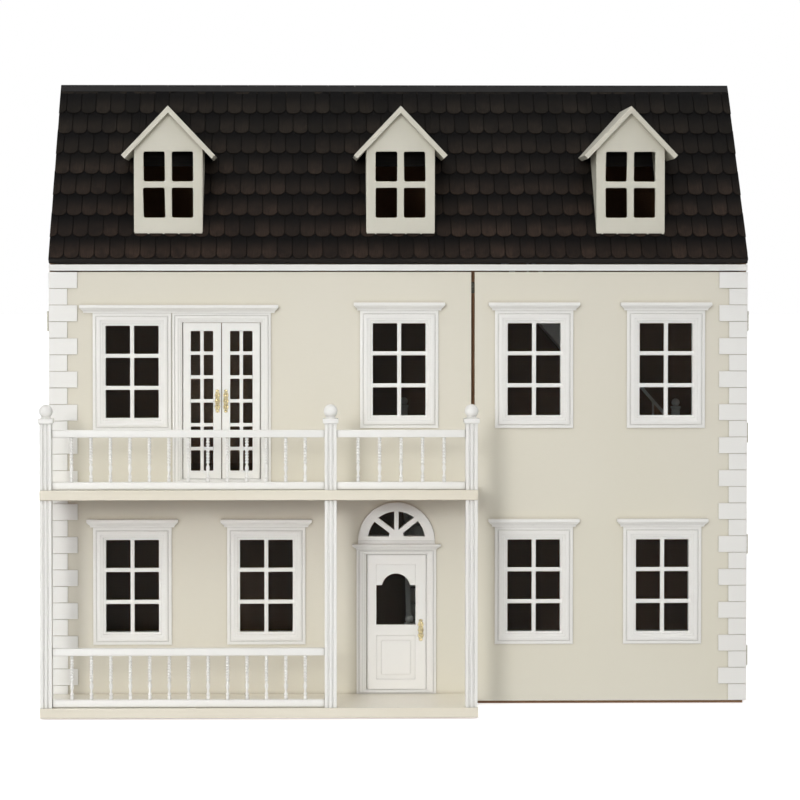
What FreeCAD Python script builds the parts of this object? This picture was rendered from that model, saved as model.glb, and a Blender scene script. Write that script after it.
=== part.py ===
import FreeCAD, Part
import math
import os

# Wooden dollhouse at 1:12, in millimetres.
# X runs to the right along the front, Y runs to the back, Z runs up.
# The origin is on the underside of the base board, at the middle of the house block.

# ---------------------------------------------------------------- driving dimensions
HALF_WIDTH = 436.0          # half the width over the side walls
BACK_Y = 175.0              # outer face of the back wall
FRONT_Y = -175.0            # outer face of the opening front panels
BOARD = 9.0                 # thickness of every board of the house
SHUT_GAP = 0.3              # between a closed panel and the edges that it closes on

FIRST_FLOOR_TOP = 279.0
ATTIC_FLOOR_TOP = 551.5
PANEL_BOTTOM = 4.5
PANEL_TOP = 541.5
LEFT_PANEL_EDGE = 90.5      # where the wide left panel ends
RIGHT_PANEL_EDGE = 94.8     # where the narrow right panel starts
PARTITION_X = 94.5          # middle of the right-hand partitions, mirrored on the left

RIDGE_Z = 785.0             # where the outer planes of the two roof boards meet
ROOF_PITCH = 51.5           # degrees
EAVE_Y = 181.0              # reach of each roof board from the ridge
RIDGE_CUT = 2.0             # each roof board stops this far short of the ridge plane
COURSES = 9
FIRST_COURSE_END = 16.4     # down the slope from the ridge
COURSE_STEP = 34.3
SHINGLE_THIN = 1.0
SHINGLE_THICK = 3.0

DORMER_CENTRES = {"left": -288.0, "middle": 2.7, "right": 291.3}
DORMER_HALF_WIDTH = 43.0
DORMER_FACE_Y = -157.5
DORMER_PEAK_Z = 749.0
DORMER_PITCH = 46.5         # degrees
DORMER_EAVE = 58.5          # half the width over the dormer's roof boards
DORMER_BOARD = 6.0

PORCH_LEFT = -437.0
PORCH_RIGHT = 92.8
PORCH_FRONT = -290.0
SLAB = 12.0
PORCH_TOP = 14.0            # top of the porch floor
DECK_TOP = 278.0            # top of the balcony deck
POST_WIDTH = 14.5
POST_INSET = 2.0
POST_XS = (-429.7, -85.7, 85.0)
POST_Y = PORCH_FRONT + POST_INSET + POST_WIDTH / 2

WINDOW_WIDTH = 98.0
WINDOW_HEIGHT = 147.0
WINDOW_MARGIN = 16.0        # from the outside of the frame to the panes
PANE_BAR = 5.0

DOOR_MIDDLE = -3.0
DOOR_LEAF_WIDTH = 74.0
DOOR_LEAF_BOTTOM = 19.5
DOOR_LEAF_TOP = 188.0
FRENCH_MIDDLE = -221.0
FRENCH_LEAF_WIDTH = 48.0
FRENCH_LEAF_BOTTOM = 283.5
FRENCH_LEAF_TOP = 478.0
LEAF_GAP = 0.4              # round each door leaf

HINGE_RADIUS = 1.5
PIN_RADIUS = 0.8
PIN_CLEARANCE = 0.08
HINGE_OUT = 1.6             # side hinge axis, outside the wall's face
HINGE_LENGTH = 25.0
HINGE_LEAF = 0.8
HINGE_HEIGHTS = (60.0, 200.0, 340.0, 480.0)

# ---------------------------------------------------------------- worked-out dimensions
PANEL_BACK_Y = FRONT_Y + BOARD
EDGE_Y = PANEL_BACK_Y + SHUT_GAP            # front edges of the fixed boards
INNER_BACK_Y = BACK_Y - BOARD
INNER_HALF = HALF_WIDTH - BOARD
SLOPE = math.tan(math.radians(ROOF_PITCH))
SLOPE_COS = math.cos(math.radians(ROOF_PITCH))
SLOPE_SIN = math.sin(math.radians(ROOF_PITCH))
CEILING_Z = FIRST_FLOOR_TOP - BOARD
UPPER_CEILING_Z = ATTIC_FLOOR_TOP - BOARD
AXIS_Y = PANEL_BACK_Y + SHUT_GAP / 2        # side hinges turn in the gap


# ---------------------------------------------------------------- helpers
def box(x0, x1, y0, y1, z0, z1):
    return Part.makeBox(x1 - x0, y1 - y0, z1 - z0, FreeCAD.Vector(x0, y0, z0))


def prism(points, direction):
    """A closed outline of 3-D points, pushed along a vector."""
    outline = [FreeCAD.Vector(*point) for point in points]
    outline.append(outline[0])
    return Part.Face(Part.makePolygon(outline)).extrude(FreeCAD.Vector(*direction))


def prism_x(points_yz, x0, x1):
    return prism([(x0, y, z) for y, z in points_yz], (x1 - x0, 0, 0))


def prism_y(points_xz, y0, y1):
    return prism([(x, y0, z) for x, z in points_xz], (0, y1 - y0, 0))


def rod(x, y, z0, z1, radius):
    return Part.makeCylinder(radius, z1 - z0, FreeCAD.Vector(x, y, z0))


def rod_x(x0, x1, y, z, radius):
    return Part.makeCylinder(radius, x1 - x0, FreeCAD.Vector(x0, y, z), FreeCAD.Vector(1, 0, 0))


def rod_y(x, y0, y1, z, radius):
    return Part.makeCylinder(radius, y1 - y0, FreeCAD.Vector(x, y0, z), FreeCAD.Vector(0, 1, 0))


def turned(x, y, profile):
    """A turned piece: (radius, height) points, spun about the upright line at x, y."""
    outline = [FreeCAD.Vector(0, 0, profile[0][1])]
    outline += [FreeCAD.Vector(radius, 0, height) for radius, height in profile]
    outline += [FreeCAD.Vector(0, 0, profile[-1][1]), outline[0]]
    face = Part.Face(Part.makePolygon(outline))
    piece = face.revolve(FreeCAD.Vector(0, 0, 0), FreeCAD.Vector(0, 0, 1), 360)
    return piece.translated(FreeCAD.Vector(x, y, 0))


def cut_all(shape, tools):
    for tool in tools:
        shape = shape.cut(tool)
    return shape


def fuse_all(shapes):
    joined = shapes[0]
    for shape in shapes[1:]:
        joined = joined.fuse(shape)
    return joined.removeSplitter()


def save(name, shapes):
    """One file for one node: a single solid, or a group of separate solids."""
    pieces = shapes if isinstance(shapes, list) else [shapes]
    solids = [solid for piece in pieces for solid in piece.Solids]
    shape = solids[0] if len(solids) == 1 else Part.makeCompound(solids)
    shape.exportStep("parts/" + name + ".step")


def roof_z(y, below=0.0):
    """Height of the roof boards' outer plane at y, or of a plane that far beneath it."""
    return RIDGE_Z - abs(y) * SLOPE - below / SLOPE_COS


def slope_point(side, along, out):
    """A point in Y, Z: down the slope from the ridge, and out from the boards' outer plane."""
    y = along * SLOPE_COS + out * SLOPE_SIN
    z = RIDGE_Z - along * SLOPE_SIN + out * SLOPE_COS
    return side * y, z


# ---------------------------------------------------------------- the fixed house
def gable_outline(bottom):
    """Outline of a wall under both roof boards; it clears the front one, which lifts."""
    front_below = BOARD + SHUT_GAP
    return [
        (EDGE_Y, bottom),
        (BACK_Y, bottom),
        (BACK_Y, roof_z(BACK_Y, BOARD)),
        (RIDGE_CUT, roof_z(RIDGE_CUT, BOARD)),
        (-RIDGE_CUT, roof_z(RIDGE_CUT, front_below)),
        (EDGE_Y, roof_z(EDGE_Y, front_below)),
    ]


def hinge_recess(side, panel_side):
    """Room for the hinge leaves, in a wall's front edge or in a panel's back face."""
    inner = side * (HALF_WIDTH - BOARD + 1.5)
    outer = side * (HALF_WIDTH + 1.0)
    y0 = PANEL_BACK_Y - HINGE_LEAF if panel_side else EDGE_Y
    tools = []
    for height in HINGE_HEIGHTS:
        z0 = height - HINGE_LENGTH / 2
        tools.append(box(min(inner, outer), max(inner, outer), y0, y0 + HINGE_LEAF, z0, z0 + HINGE_LENGTH))
    return tools


def side_wall(side):
    outer = side * HALF_WIDTH
    inner = side * INNER_HALF
    wall = prism_x(gable_outline(BOARD), min(outer, inner), max(outer, inner))
    return cut_all(wall, hinge_recess(side, False))


def back_wall():
    outline = [
        (INNER_BACK_Y, BOARD),
        (BACK_Y, BOARD),
        (BACK_Y, roof_z(BACK_Y, BOARD)),
        (INNER_BACK_Y, roof_z(INNER_BACK_Y, BOARD)),
    ]
    return prism_x(outline, -INNER_HALF, INNER_HALF)


HALL_STAIR = {"x0": 18.0, "x1": PARTITION_X - BOARD / 2, "foot": -70.0, "tread": 16.0}
ATTIC_STAIR = {"y0": 106.0, "y1": INNER_BACK_Y, "foot": 378.0, "tread": 17.0}
STEPS = 14
STRINGER = 3.0
NEWEL_HEIGHT = 78.0
ATTIC_NEWEL_HEIGHT = 62.0    # the newel in the attic stands under the rear slope
WELL_MARGIN = 6.0           # from a flight's open side to the edge of the stairwell


def floor_board(top):
    return box(-INNER_HALF, INNER_HALF, EDGE_Y, INNER_BACK_Y, top - BOARD, top)


def first_floor():
    foot = HALL_STAIR["foot"]
    end = foot + (STEPS - 1) * HALL_STAIR["tread"]
    x0 = HALL_STAIR["x0"] - WELL_MARGIN
    well = box(x0, HALL_STAIR["x1"], foot + 10, end, CEILING_Z - 1, FIRST_FLOOR_TOP + 1)
    return floor_board(FIRST_FLOOR_TOP).cut(well)


def attic_floor():
    foot = ATTIC_STAIR["foot"]
    end = foot - (STEPS - 1) * ATTIC_STAIR["tread"]
    y0 = ATTIC_STAIR["y0"] - WELL_MARGIN
    well = box(end, foot - 10, y0, INNER_BACK_Y, UPPER_CEILING_Z - 1, ATTIC_FLOOR_TOP + 1)
    return floor_board(ATTIC_FLOOR_TOP).cut(well)


def partition(side, bottom, top, door_y0, door_y1, door_height):
    middle = side * PARTITION_X
    x0 = middle - BOARD / 2
    wall = box(x0, x0 + BOARD, EDGE_Y, INNER_BACK_Y, bottom, top)
    doorway = box(x0 - 1, x0 + BOARD + 1, door_y0, door_y1, bottom - 1, bottom + door_height)
    return wall.cut(doorway)


def attic_partition(side):
    middle = side * PARTITION_X
    x0 = middle - BOARD / 2
    room = box(x0, x0 + BOARD, EDGE_Y, INNER_BACK_Y, ATTIC_FLOOR_TOP, RIDGE_Z)
    wall = prism_x(gable_outline(ATTIC_FLOOR_TOP), x0, x0 + BOARD).common(room)
    return wall.cut(box(x0 - 1, x0 + BOARD + 1, -80, -8, ATTIC_FLOOR_TOP - 1, ATTIC_FLOOR_TOP + 115))


def roof_board(side):
    """A board from the ridge to the eave, with its lower end cut square."""
    top_y = RIDGE_CUT
    eave = slope_point(side, EAVE_Y / SLOPE_COS, 0)
    eave_inside = slope_point(side, EAVE_Y / SLOPE_COS, -BOARD)
    outline = [
        (side * top_y, roof_z(top_y)),
        eave,
        eave_inside,
        (side * top_y, roof_z(top_y, BOARD)),
    ]
    return prism_x(outline, -HALF_WIDTH, HALF_WIDTH)


def shingle_courses(side):
    """Each course is one tapered strip, thick at its lower edge."""
    courses = []
    start = FIRST_COURSE_END - 4.5
    for course in range(COURSES):
        end = FIRST_COURSE_END + course * COURSE_STEP
        outline = [
            slope_point(side, start, 0),
            slope_point(side, start, SHINGLE_THIN),
            slope_point(side, end, SHINGLE_THICK),
            slope_point(side, end, 0),
        ]
        courses.append(prism_x(outline, -HALF_WIDTH, HALF_WIDTH))
        start = end
    return courses


def step_outline(start, bottom, rise, tread):
    """Side view of a flight: steps on top, and a sloping underside."""
    soffit = 12.0
    steps = STEPS - 1
    outline = [(start, bottom)]
    for step in range(steps):
        outline.append((start + step * tread, bottom + (step + 1) * rise))
        outline.append((start + (step + 1) * tread, bottom + (step + 1) * rise))
    outline.append((start + steps * tread, bottom + steps * rise - soffit))
    outline.append((start + soffit * tread / rise, bottom))
    return outline


def flight(start, bottom, top, tread, x0, x1):
    """A flight that climbs towards +Y."""
    return prism_x(step_outline(start, bottom, (top - bottom) / STEPS, tread), x0, x1)


def stair_newel(x, y, bottom, shaft_height):
    shaft_top = bottom + shaft_height
    shaft = box(x - 5, x + 5, y - 5, y + 5, bottom, shaft_top)
    cap = box(x - 6, x + 6, y - 6, y + 6, shaft_top, shaft_top + 3)
    ball = Part.makeSphere(5.5, FreeCAD.Vector(x, y, shaft_top + 8))
    return fuse_all([shaft, cap, ball])


def balustrade(start, bottom, top, tread, x0, x1, top_newel_height):
    """Stringer, newels, handrail and spindles of a flight that climbs towards +Y."""
    rise = (top - bottom) / STEPS
    steepness = rise / tread
    end = start + (STEPS - 1) * tread
    foot_height = bottom + rise
    middle = (x0 + x1) / 2
    stringer = [
        (start, bottom),
        (start, foot_height),
        (end, foot_height + (end - start) * steepness),
        (end, bottom + (end - start) * steepness - 12),
        (start + 12 / steepness, bottom),
    ]
    rail_low = 56.0
    rail_high = 62.0
    handrail = [
        (start, bottom + rail_low),
        (start, bottom + rail_high),
        (end, bottom + rail_high + (end - start) * steepness),
        (end, bottom + rail_low + (end - start) * steepness),
    ]
    pieces = [prism_x(stringer, x0, x1), prism_x(handrail, middle - 3, middle + 3)]
    for step in range(1, STEPS - 1, 2):
        y = start + (step + 0.5) * tread
        foot = foot_height + (y - start) * steepness
        head = bottom + rail_low + (y - start) * steepness
        spindle = prism_x([
            (y - 1.3, foot - 1.3 * steepness),
            (y + 1.3, foot + 1.3 * steepness),
            (y + 1.3, head + 1.3 * steepness),
            (y - 1.3, head - 1.3 * steepness),
        ], middle - 1.3, middle + 1.3)
        pieces.append(spindle)
    pieces.append(stair_newel(middle, start - 5, bottom, NEWEL_HEIGHT))
    pieces.append(stair_newel(middle, end + 5, top, top_newel_height))
    return pieces


def to_back_wall(shape):
    """Turn a flight made at x = 0 so that it climbs to the left along the back wall."""
    turned_shape = shape.rotated(FreeCAD.Vector(0, 0, 0), FreeCAD.Vector(0, 0, 1), 90)
    return turned_shape.translated(FreeCAD.Vector(ATTIC_STAIR["foot"], 0, 0))


def attic_stairs():
    """The upper flight and its balustrade; its local +Y is the room's -X, its +X the room's +Y."""
    y0 = ATTIC_STAIR["y0"]
    y1 = ATTIC_STAIR["y1"]
    tread = ATTIC_STAIR["tread"]
    steps = flight(0, FIRST_FLOOR_TOP, ATTIC_FLOOR_TOP, tread, y0, y1)
    rails = balustrade(0, FIRST_FLOOR_TOP, ATTIC_FLOOR_TOP, tread, y0 - STRINGER, y0, ATTIC_NEWEL_HEIGHT)
    return to_back_wall(steps), [to_back_wall(piece) for piece in rails]


def eaves_strip():
    """Painted strip over the front panels, on the front edge of the attic floor."""
    outline = [
        (FRONT_Y, PANEL_TOP + 1.5),
        (EDGE_Y, PANEL_TOP + 1.5),
        (EDGE_Y, ATTIC_FLOOR_TOP - 0.5),
        (FRONT_Y, ATTIC_FLOOR_TOP - 0.5),
    ]
    return prism_x(outline, -HALF_WIDTH, HALF_WIDTH)


CATCH_Z0 = 515.0
CATCH_Z1 = 529.0


def catch_plate():
    """Steel plate let into the front edge of the upper right partition."""
    return box(PARTITION_X - 13, PARTITION_X + 13, EDGE_Y, EDGE_Y + 0.8, CATCH_Z0, CATCH_Z1)


def catch_magnet(x0, x1):
    """Magnet let into the back of a front panel, behind the catch plate."""
    return box(x0, x1, PANEL_BACK_Y - 3, PANEL_BACK_Y, CATCH_Z0 + 2, CATCH_Z1 - 2)


# ---------------------------------------------------------------- side hinges
def knuckle_spans(height):
    """Five knuckles on one pin: the even ones belong to the wall, the odd ones to the panel."""
    pitch = HINGE_LENGTH / 5
    gap = 0.15
    z0 = height - HINGE_LENGTH / 2
    return [(z0 + k * pitch + gap, z0 + (k + 1) * pitch - gap) for k in range(5)]


def side_hinge_leaf(side, height, panel_side):
    axis_x = side * (HALF_WIDTH + HINGE_OUT)
    plate_out = side * (HALF_WIDTH - 0.1)
    plate_in = side * (INNER_HALF + 1.5)
    y0 = PANEL_BACK_Y - HINGE_LEAF if panel_side else EDGE_Y
    y1 = y0 + HINGE_LEAF
    z0 = height - HINGE_LENGTH / 2
    plate = box(min(plate_out, plate_in), max(plate_out, plate_in), y0, y1, z0, z0 + HINGE_LENGTH)
    bore = PIN_RADIUS + PIN_CLEARANCE if panel_side else PIN_RADIUS
    pieces = [plate]
    for low, high in knuckle_spans(height)[1 if panel_side else 0::2]:
        pieces.append(rod(axis_x, AXIS_Y, low, high, HINGE_RADIUS))
        pieces.append(box(min(axis_x, plate_out), max(axis_x, plate_out), y0, y1, low, high))
    return fuse_all(pieces).cut(rod(axis_x, AXIS_Y, z0 - 1, z0 + HINGE_LENGTH + 1, bore))


def side_hinge_pin(side, height):
    z0 = height - HINGE_LENGTH / 2
    return rod(side * (HALF_WIDTH + HINGE_OUT), AXIS_Y, z0, z0 + HINGE_LENGTH, PIN_RADIUS)


# ---------------------------------------------------------------- ridge hinge
RIDGE_KNUCKLES = 25
RIDGE_AXIS_Z = RIDGE_Z - 0.8
RIDGE_LEAF_END = 11.0


def ridge_hinge_leaf(side, first):
    """One leaf of the long strip hinge, with every second knuckle."""
    start = 2.6
    plate = prism_x([
        slope_point(side, start, 0),
        slope_point(side, start, HINGE_LEAF),
        slope_point(side, RIDGE_LEAF_END, HINGE_LEAF),
        slope_point(side, RIDGE_LEAF_END, 0),
    ], -HALF_WIDTH, HALF_WIDTH)
    pieces = [plate]
    pitch = 2 * HALF_WIDTH / RIDGE_KNUCKLES
    for knuckle in range(first, RIDGE_KNUCKLES, 2):
        x0 = -HALF_WIDTH + knuckle * pitch + 0.15
        x1 = x0 + pitch - 0.3
        tongue = prism_x([
            slope_point(side, 0.9, 0),
            slope_point(side, 0.9, HINGE_LEAF),
            slope_point(side, start + 0.1, HINGE_LEAF),
            slope_point(side, start + 0.1, 0),
        ], x0, x1)
        pieces.append(tongue)
        pieces.append(rod_x(x0, x1, 0, RIDGE_AXIS_Z, HINGE_RADIUS))
    bore = PIN_RADIUS + (PIN_CLEARANCE if side < 0 else 0)
    hole = rod_x(-HALF_WIDTH - 1, HALF_WIDTH + 1, 0, RIDGE_AXIS_Z, bore)
    return fuse_all(pieces).cut(hole)


def ridge_hinge_pin():
    return rod_x(-HALF_WIDTH, HALF_WIDTH, 0, RIDGE_AXIS_Z, PIN_RADIUS)


# ---------------------------------------------------------------- windows
FLANGE = 3.5                # the casing stands this far out from the wall
LINING_INSET = 8.0          # the lining is this much smaller than the casing, all round
BAR_BACK_Y = FRONT_Y + 2.5  # back of the glazing bars
PANE_RADIUS = 1.5
CORNICE_OUT = 8.0
GLASS = 1.0


def lining_box(middle, bottom, width, height, y0, y1):
    return box(
        middle - width / 2 + LINING_INSET,
        middle + width / 2 - LINING_INSET,
        y0,
        y1,
        bottom + LINING_INSET,
        bottom + height - LINING_INSET,
    )


def pane_cutter(x0, x1, z0, z1, y0, y1):
    cutter = box(x0, x1, y0, y1, z0, z1)
    upright = [edge for edge in cutter.Edges if abs(edge.tangentAt(edge.FirstParameter).y) > 0.99]
    return cutter.makeFillet(PANE_RADIUS, upright)


def pane_grid(x0, x1, z0, z1, columns, rows, bar, y0, y1):
    """Cutters for a grid of panes that leaves bars between them."""
    width = (x1 - x0 - (columns - 1) * bar) / columns
    height = (z1 - z0 - (rows - 1) * bar) / rows
    cutters = []
    for column in range(columns):
        for row in range(rows):
            left = x0 + column * (width + bar)
            low = z0 + row * (height + bar)
            cutters.append(pane_cutter(left, left + width, low, low + height, y0, y1))
    return cutters


def cornice(middle, bottom, width, height, back_y):
    """Moulded shelf: a low fillet, a sloping throat and a square top edge."""
    half = width / 2
    profile = [
        (back_y, bottom),
        (back_y - 3.5, bottom),
        (back_y - 4.5, bottom + height * 0.3),
        (back_y - CORNICE_OUT, bottom + height * 0.6),
        (back_y - CORNICE_OUT, bottom + height),
        (back_y, bottom + height),
    ]
    return prism_x(profile, middle - half, middle + half)


def window_frame(middle, bottom):
    """Six-pane window: casing on the wall's face, lining through it, and glazing bars."""
    half = WINDOW_WIDTH / 2
    top = bottom + WINDOW_HEIGHT
    casing = box(middle - half, middle + half, FRONT_Y - FLANGE, FRONT_Y, bottom, top)
    lining = lining_box(middle, bottom, WINDOW_WIDTH, WINDOW_HEIGHT, FRONT_Y, PANEL_BACK_Y)
    frame = casing.fuse(lining)
    x0 = middle - half + WINDOW_MARGIN
    x1 = middle + half - WINDOW_MARGIN
    z0 = bottom + WINDOW_MARGIN
    z1 = top - WINDOW_MARGIN
    recess = box(x0 - 1, x1 + 1, FRONT_Y - FLANGE, FRONT_Y - 1, z0 - 1, z1 + 1)
    pocket = box(x0 - 2, x1 + 2, BAR_BACK_Y, PANEL_BACK_Y, z0 - 2, z1 + 2)
    panes = pane_grid(x0, x1, z0, z1, 2, 3, PANE_BAR, FRONT_Y - FLANGE, PANEL_BACK_Y)
    return cut_all(frame, [recess, pocket] + panes)


def window_glass(middle, bottom):
    half = WINDOW_WIDTH / 2 - WINDOW_MARGIN + 2
    z0 = bottom + WINDOW_MARGIN - 2
    z1 = bottom + WINDOW_HEIGHT - WINDOW_MARGIN + 2
    return box(middle - half, middle + half, BAR_BACK_Y, BAR_BACK_Y + GLASS, z0, z1)


def window_hole(middle, bottom):
    return lining_box(middle, bottom, WINDOW_WIDTH, WINDOW_HEIGHT, FRONT_Y, PANEL_BACK_Y)


def window_with_cornice(middle, bottom):
    shelf = cornice(middle, bottom + WINDOW_HEIGHT, WINDOW_WIDTH + 16, 10.0, FRONT_Y)
    return [window_frame(middle, bottom), shelf]


LOW_SILL = 76.0
UPPER_SILL = 346.5
BALCONY_SILL = 343.5
LEFT_UPPER_WINDOWS = ((-332.5, BALCONY_SILL), (0.5, UPPER_SILL))
LEFT_LOWER_WINDOWS = ((-332.5, LOW_SILL), (-165.5, LOW_SILL))
RIGHT_UPPER_WINDOWS = ((169.0, UPPER_SILL), (334.0, UPPER_SILL))
RIGHT_LOWER_WINDOWS = ((169.0, LOW_SILL), (330.0, LOW_SILL))


# ---------------------------------------------------------------- front panels
def quoins(side):
    """Painted corner blocks, long and short in turn, from the top of the panel down."""
    rows = 26
    row_height = (PANEL_TOP - PANEL_BOTTOM) / rows
    thickness = 2.0
    joint = 0.5
    blocks = []
    for row in range(rows):
        width = 35.5 if row % 2 == 0 else 23.0
        top = PANEL_TOP - row * row_height
        outer = side * HALF_WIDTH
        inner = side * (HALF_WIDTH - width)
        x0 = min(outer, inner)
        x1 = max(outer, inner)
        block = box(x0, x1, FRONT_Y - thickness, FRONT_Y, top - row_height + joint, top)
        blocks.append(block)
    return blocks


def left_front_panel():
    panel = box(-HALF_WIDTH, LEFT_PANEL_EDGE, FRONT_Y, PANEL_BACK_Y, PANEL_BOTTOM, PANEL_TOP)
    tools = [window_hole(*place) for place in LEFT_UPPER_WINDOWS + LEFT_LOWER_WINDOWS]
    tools.append(lining_block(DOOR))
    tools.append(lining_block(FRENCH))
    tools.append(fanlight_hole())
    tools.append(catch_magnet(82.0, LEFT_PANEL_EDGE - 1))
    return cut_all(panel, tools + hinge_recess(-1, True))


def right_front_panel():
    panel = box(RIGHT_PANEL_EDGE, HALF_WIDTH, FRONT_Y, PANEL_BACK_Y, PANEL_BOTTOM, PANEL_TOP)
    tools = [window_hole(*place) for place in RIGHT_UPPER_WINDOWS + RIGHT_LOWER_WINDOWS]
    tools.append(catch_magnet(RIGHT_PANEL_EDGE + 1, 106.5))
    return cut_all(panel, tools + hinge_recess(1, True))


# ---------------------------------------------------------------- doors
LEAF_BACK_Y = -170.5                # leaves lie near the face of the panel
DOOR_LEAF = 6.0
FRENCH_LEAF = 5.0
LINING_SIDE = 5.0
CASING_SIDE = 12.5
PIVOT_RADIUS = 1.0
PIVOT_LENGTH = 2.0
MEETING_GAP = 1.0           # between the two French leaves


DOOR = {
    "x0": DOOR_MIDDLE - DOOR_LEAF_WIDTH / 2 - LEAF_GAP,
    "x1": DOOR_MIDDLE + DOOR_LEAF_WIDTH / 2 + LEAF_GAP,
    "z0": DOOR_LEAF_BOTTOM - LEAF_GAP,
    "z1": DOOR_LEAF_TOP + LEAF_GAP,
    "casing_bottom": PORCH_TOP,
    "casing_top": 195.0,
    "leaf": DOOR_LEAF,
}
FRENCH = {
    "x0": FRENCH_MIDDLE - FRENCH_LEAF_WIDTH - MEETING_GAP / 2 - LEAF_GAP,
    "x1": FRENCH_MIDDLE + FRENCH_LEAF_WIDTH + MEETING_GAP / 2 + LEAF_GAP,
    "z0": FRENCH_LEAF_BOTTOM - LEAF_GAP,
    "z1": FRENCH_LEAF_TOP + LEAF_GAP,
    "casing_bottom": DECK_TOP,
    "casing_top": 490.5,
    "leaf": FRENCH_LEAF,
}


def lining_block(way):
    """The block that a doorway's lining fills, from face to back of the panel."""
    return box(
        way["x0"] - LINING_SIDE,
        way["x1"] + LINING_SIDE,
        FRONT_Y,
        PANEL_BACK_Y,
        way["z0"] - LINING_SIDE,
        way["z1"] + LINING_SIDE,
    )


def door_frame(way, pivot_xs):
    """Casing and lining of a doorway, with pivot holes above and below its leaves."""
    x0 = way["x0"]
    x1 = way["x1"]
    z0 = way["z0"]
    z1 = way["z1"]
    face_y = FRONT_Y - 4
    casing = box(x0 - CASING_SIDE, x1 + CASING_SIDE, face_y, FRONT_Y, way["casing_bottom"], way["casing_top"])
    way_through = box(x0, x1, face_y, PANEL_BACK_Y, z0, z1)
    frame = casing.fuse(lining_block(way)).cut(way_through)
    pivot_y = LEAF_BACK_Y - way["leaf"] / 2
    radius = PIVOT_RADIUS + PIN_CLEARANCE
    for pivot_x in pivot_xs:
        hole = rod(pivot_x, pivot_y, z0 - PIVOT_LENGTH - 0.5, z1 + PIVOT_LENGTH + 0.5, radius)
        frame = frame.cut(hole)
    return frame


def leaf_blank(x0, x1, z0, z1, thickness, pivot_x):
    """A door leaf with a rounded hanging edge and a pivot pin at its head and foot."""
    y0 = LEAF_BACK_Y - thickness
    pivot_y = LEAF_BACK_Y - thickness / 2
    flat_x0 = pivot_x if pivot_x < (x0 + x1) / 2 else x0
    flat_x1 = x1 if pivot_x < (x0 + x1) / 2 else pivot_x
    slab = box(flat_x0, flat_x1, y0, LEAF_BACK_Y, z0, z1)
    edge = rod(pivot_x, pivot_y, z0, z1, thickness / 2)
    reach = LEAF_GAP + PIVOT_LENGTH
    pin = rod(pivot_x, pivot_y, z0 - reach, z1 + reach, PIVOT_RADIUS)
    return fuse_all([slab, edge, pin])


DOOR_LIGHT = {"x0": -28.0, "x1": 21.0, "z0": 100.5, "shoulder": 150.0, "arch": 17.5, "arch_z": 147.0}
FRENCH_STILE = 10.0
GLASS_Y = LEAF_BACK_Y - 2.0


def arched_light(grow, y0, y1):
    """The front door's window: a rectangle with a round arch rising from its top."""
    light = DOOR_LIGHT
    square = box(light["x0"] - grow, light["x1"] + grow, y0, y1, light["z0"] - grow, light["shoulder"] + grow)
    middle = (light["x0"] + light["x1"]) / 2
    arch = rod_y(middle, y0, y1, light["arch_z"], light["arch"] + grow)
    return square.fuse(arch).removeSplitter()


DOOR_PIVOT_X = DOOR_MIDDLE - DOOR_LEAF_WIDTH / 2 + DOOR_LEAF / 2


def front_door():
    x0 = DOOR_MIDDLE - DOOR_LEAF_WIDTH / 2
    x1 = DOOR_MIDDLE + DOOR_LEAF_WIDTH / 2
    face_y = LEAF_BACK_Y - DOOR_LEAF
    leaf = leaf_blank(x0, x1, DOOR_LEAF_BOTTOM, DOOR_LEAF_TOP, DOOR_LEAF, DOOR_PIVOT_X)
    panel_x0 = DOOR_LIGHT["x0"]
    panel_x1 = DOOR_LIGHT["x1"]
    sunk = box(panel_x0, panel_x1, face_y, face_y + 1.5, 32.0, 87.0)
    field = box(panel_x0 + 6.5, panel_x1 - 6.5, face_y, face_y + 1.5, 38.5, 80.5)
    leaf = leaf.cut(sunk.cut(field))
    leaf = leaf.cut(box(panel_x0, panel_x1, face_y, face_y + 0.7, DOOR_LIGHT["z0"], 176.0))
    leaf = leaf.cut(arched_light(0, face_y, LEAF_BACK_Y))
    return leaf.cut(arched_light(1.5, GLASS_Y, LEAF_BACK_Y))


def front_door_glass():
    return arched_light(1.2, GLASS_Y, GLASS_Y + GLASS)


def french_span(side):
    near = FRENCH_MIDDLE + side * MEETING_GAP / 2
    far = near + side * FRENCH_LEAF_WIDTH
    return min(near, far), max(near, far), far - side * FRENCH_LEAF / 2


def french_door(side):
    x0, x1, pivot_x = french_span(side)
    face_y = LEAF_BACK_Y - FRENCH_LEAF
    leaf = leaf_blank(x0, x1, FRENCH_LEAF_BOTTOM, FRENCH_LEAF_TOP, FRENCH_LEAF, pivot_x)
    z0 = FRENCH_LEAF_BOTTOM + FRENCH_STILE
    z1 = FRENCH_LEAF_TOP - FRENCH_STILE
    light_x0 = x0 + FRENCH_STILE
    light_x1 = x1 - FRENCH_STILE
    panes = pane_grid(light_x0, light_x1, z0, z1, 2, 6, 4.2, face_y, LEAF_BACK_Y)
    rebate = box(light_x0 - 1.5, light_x1 + 1.5, GLASS_Y, LEAF_BACK_Y, z0 - 1.5, z1 + 1.5)
    return cut_all(leaf, panes + [rebate])


def french_glass(side):
    x0, x1, _ = french_span(side)
    return box(
        x0 + FRENCH_STILE - 1.5,
        x1 - FRENCH_STILE + 1.5,
        GLASS_Y,
        GLASS_Y + GLASS,
        FRENCH_LEAF_BOTTOM + FRENCH_STILE - 1.5,
        FRENCH_LEAF_TOP - FRENCH_STILE + 1.5,
    )


def handle(x0, x1, z0, z1, face_y):
    """Back plate and turned knob."""
    plate = box(x0, x1, face_y - 1.0, face_y, z0, z1)
    middle = (x0 + x1) / 2
    height = z0 + (z1 - z0) * 0.55
    neck = rod_y(middle, face_y - 4.0, face_y - 1.0, height, 0.9)
    knob = Part.makeSphere(2.2, FreeCAD.Vector(middle, face_y - 4.4, height))
    return fuse_all([plate, neck, knob])


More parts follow.
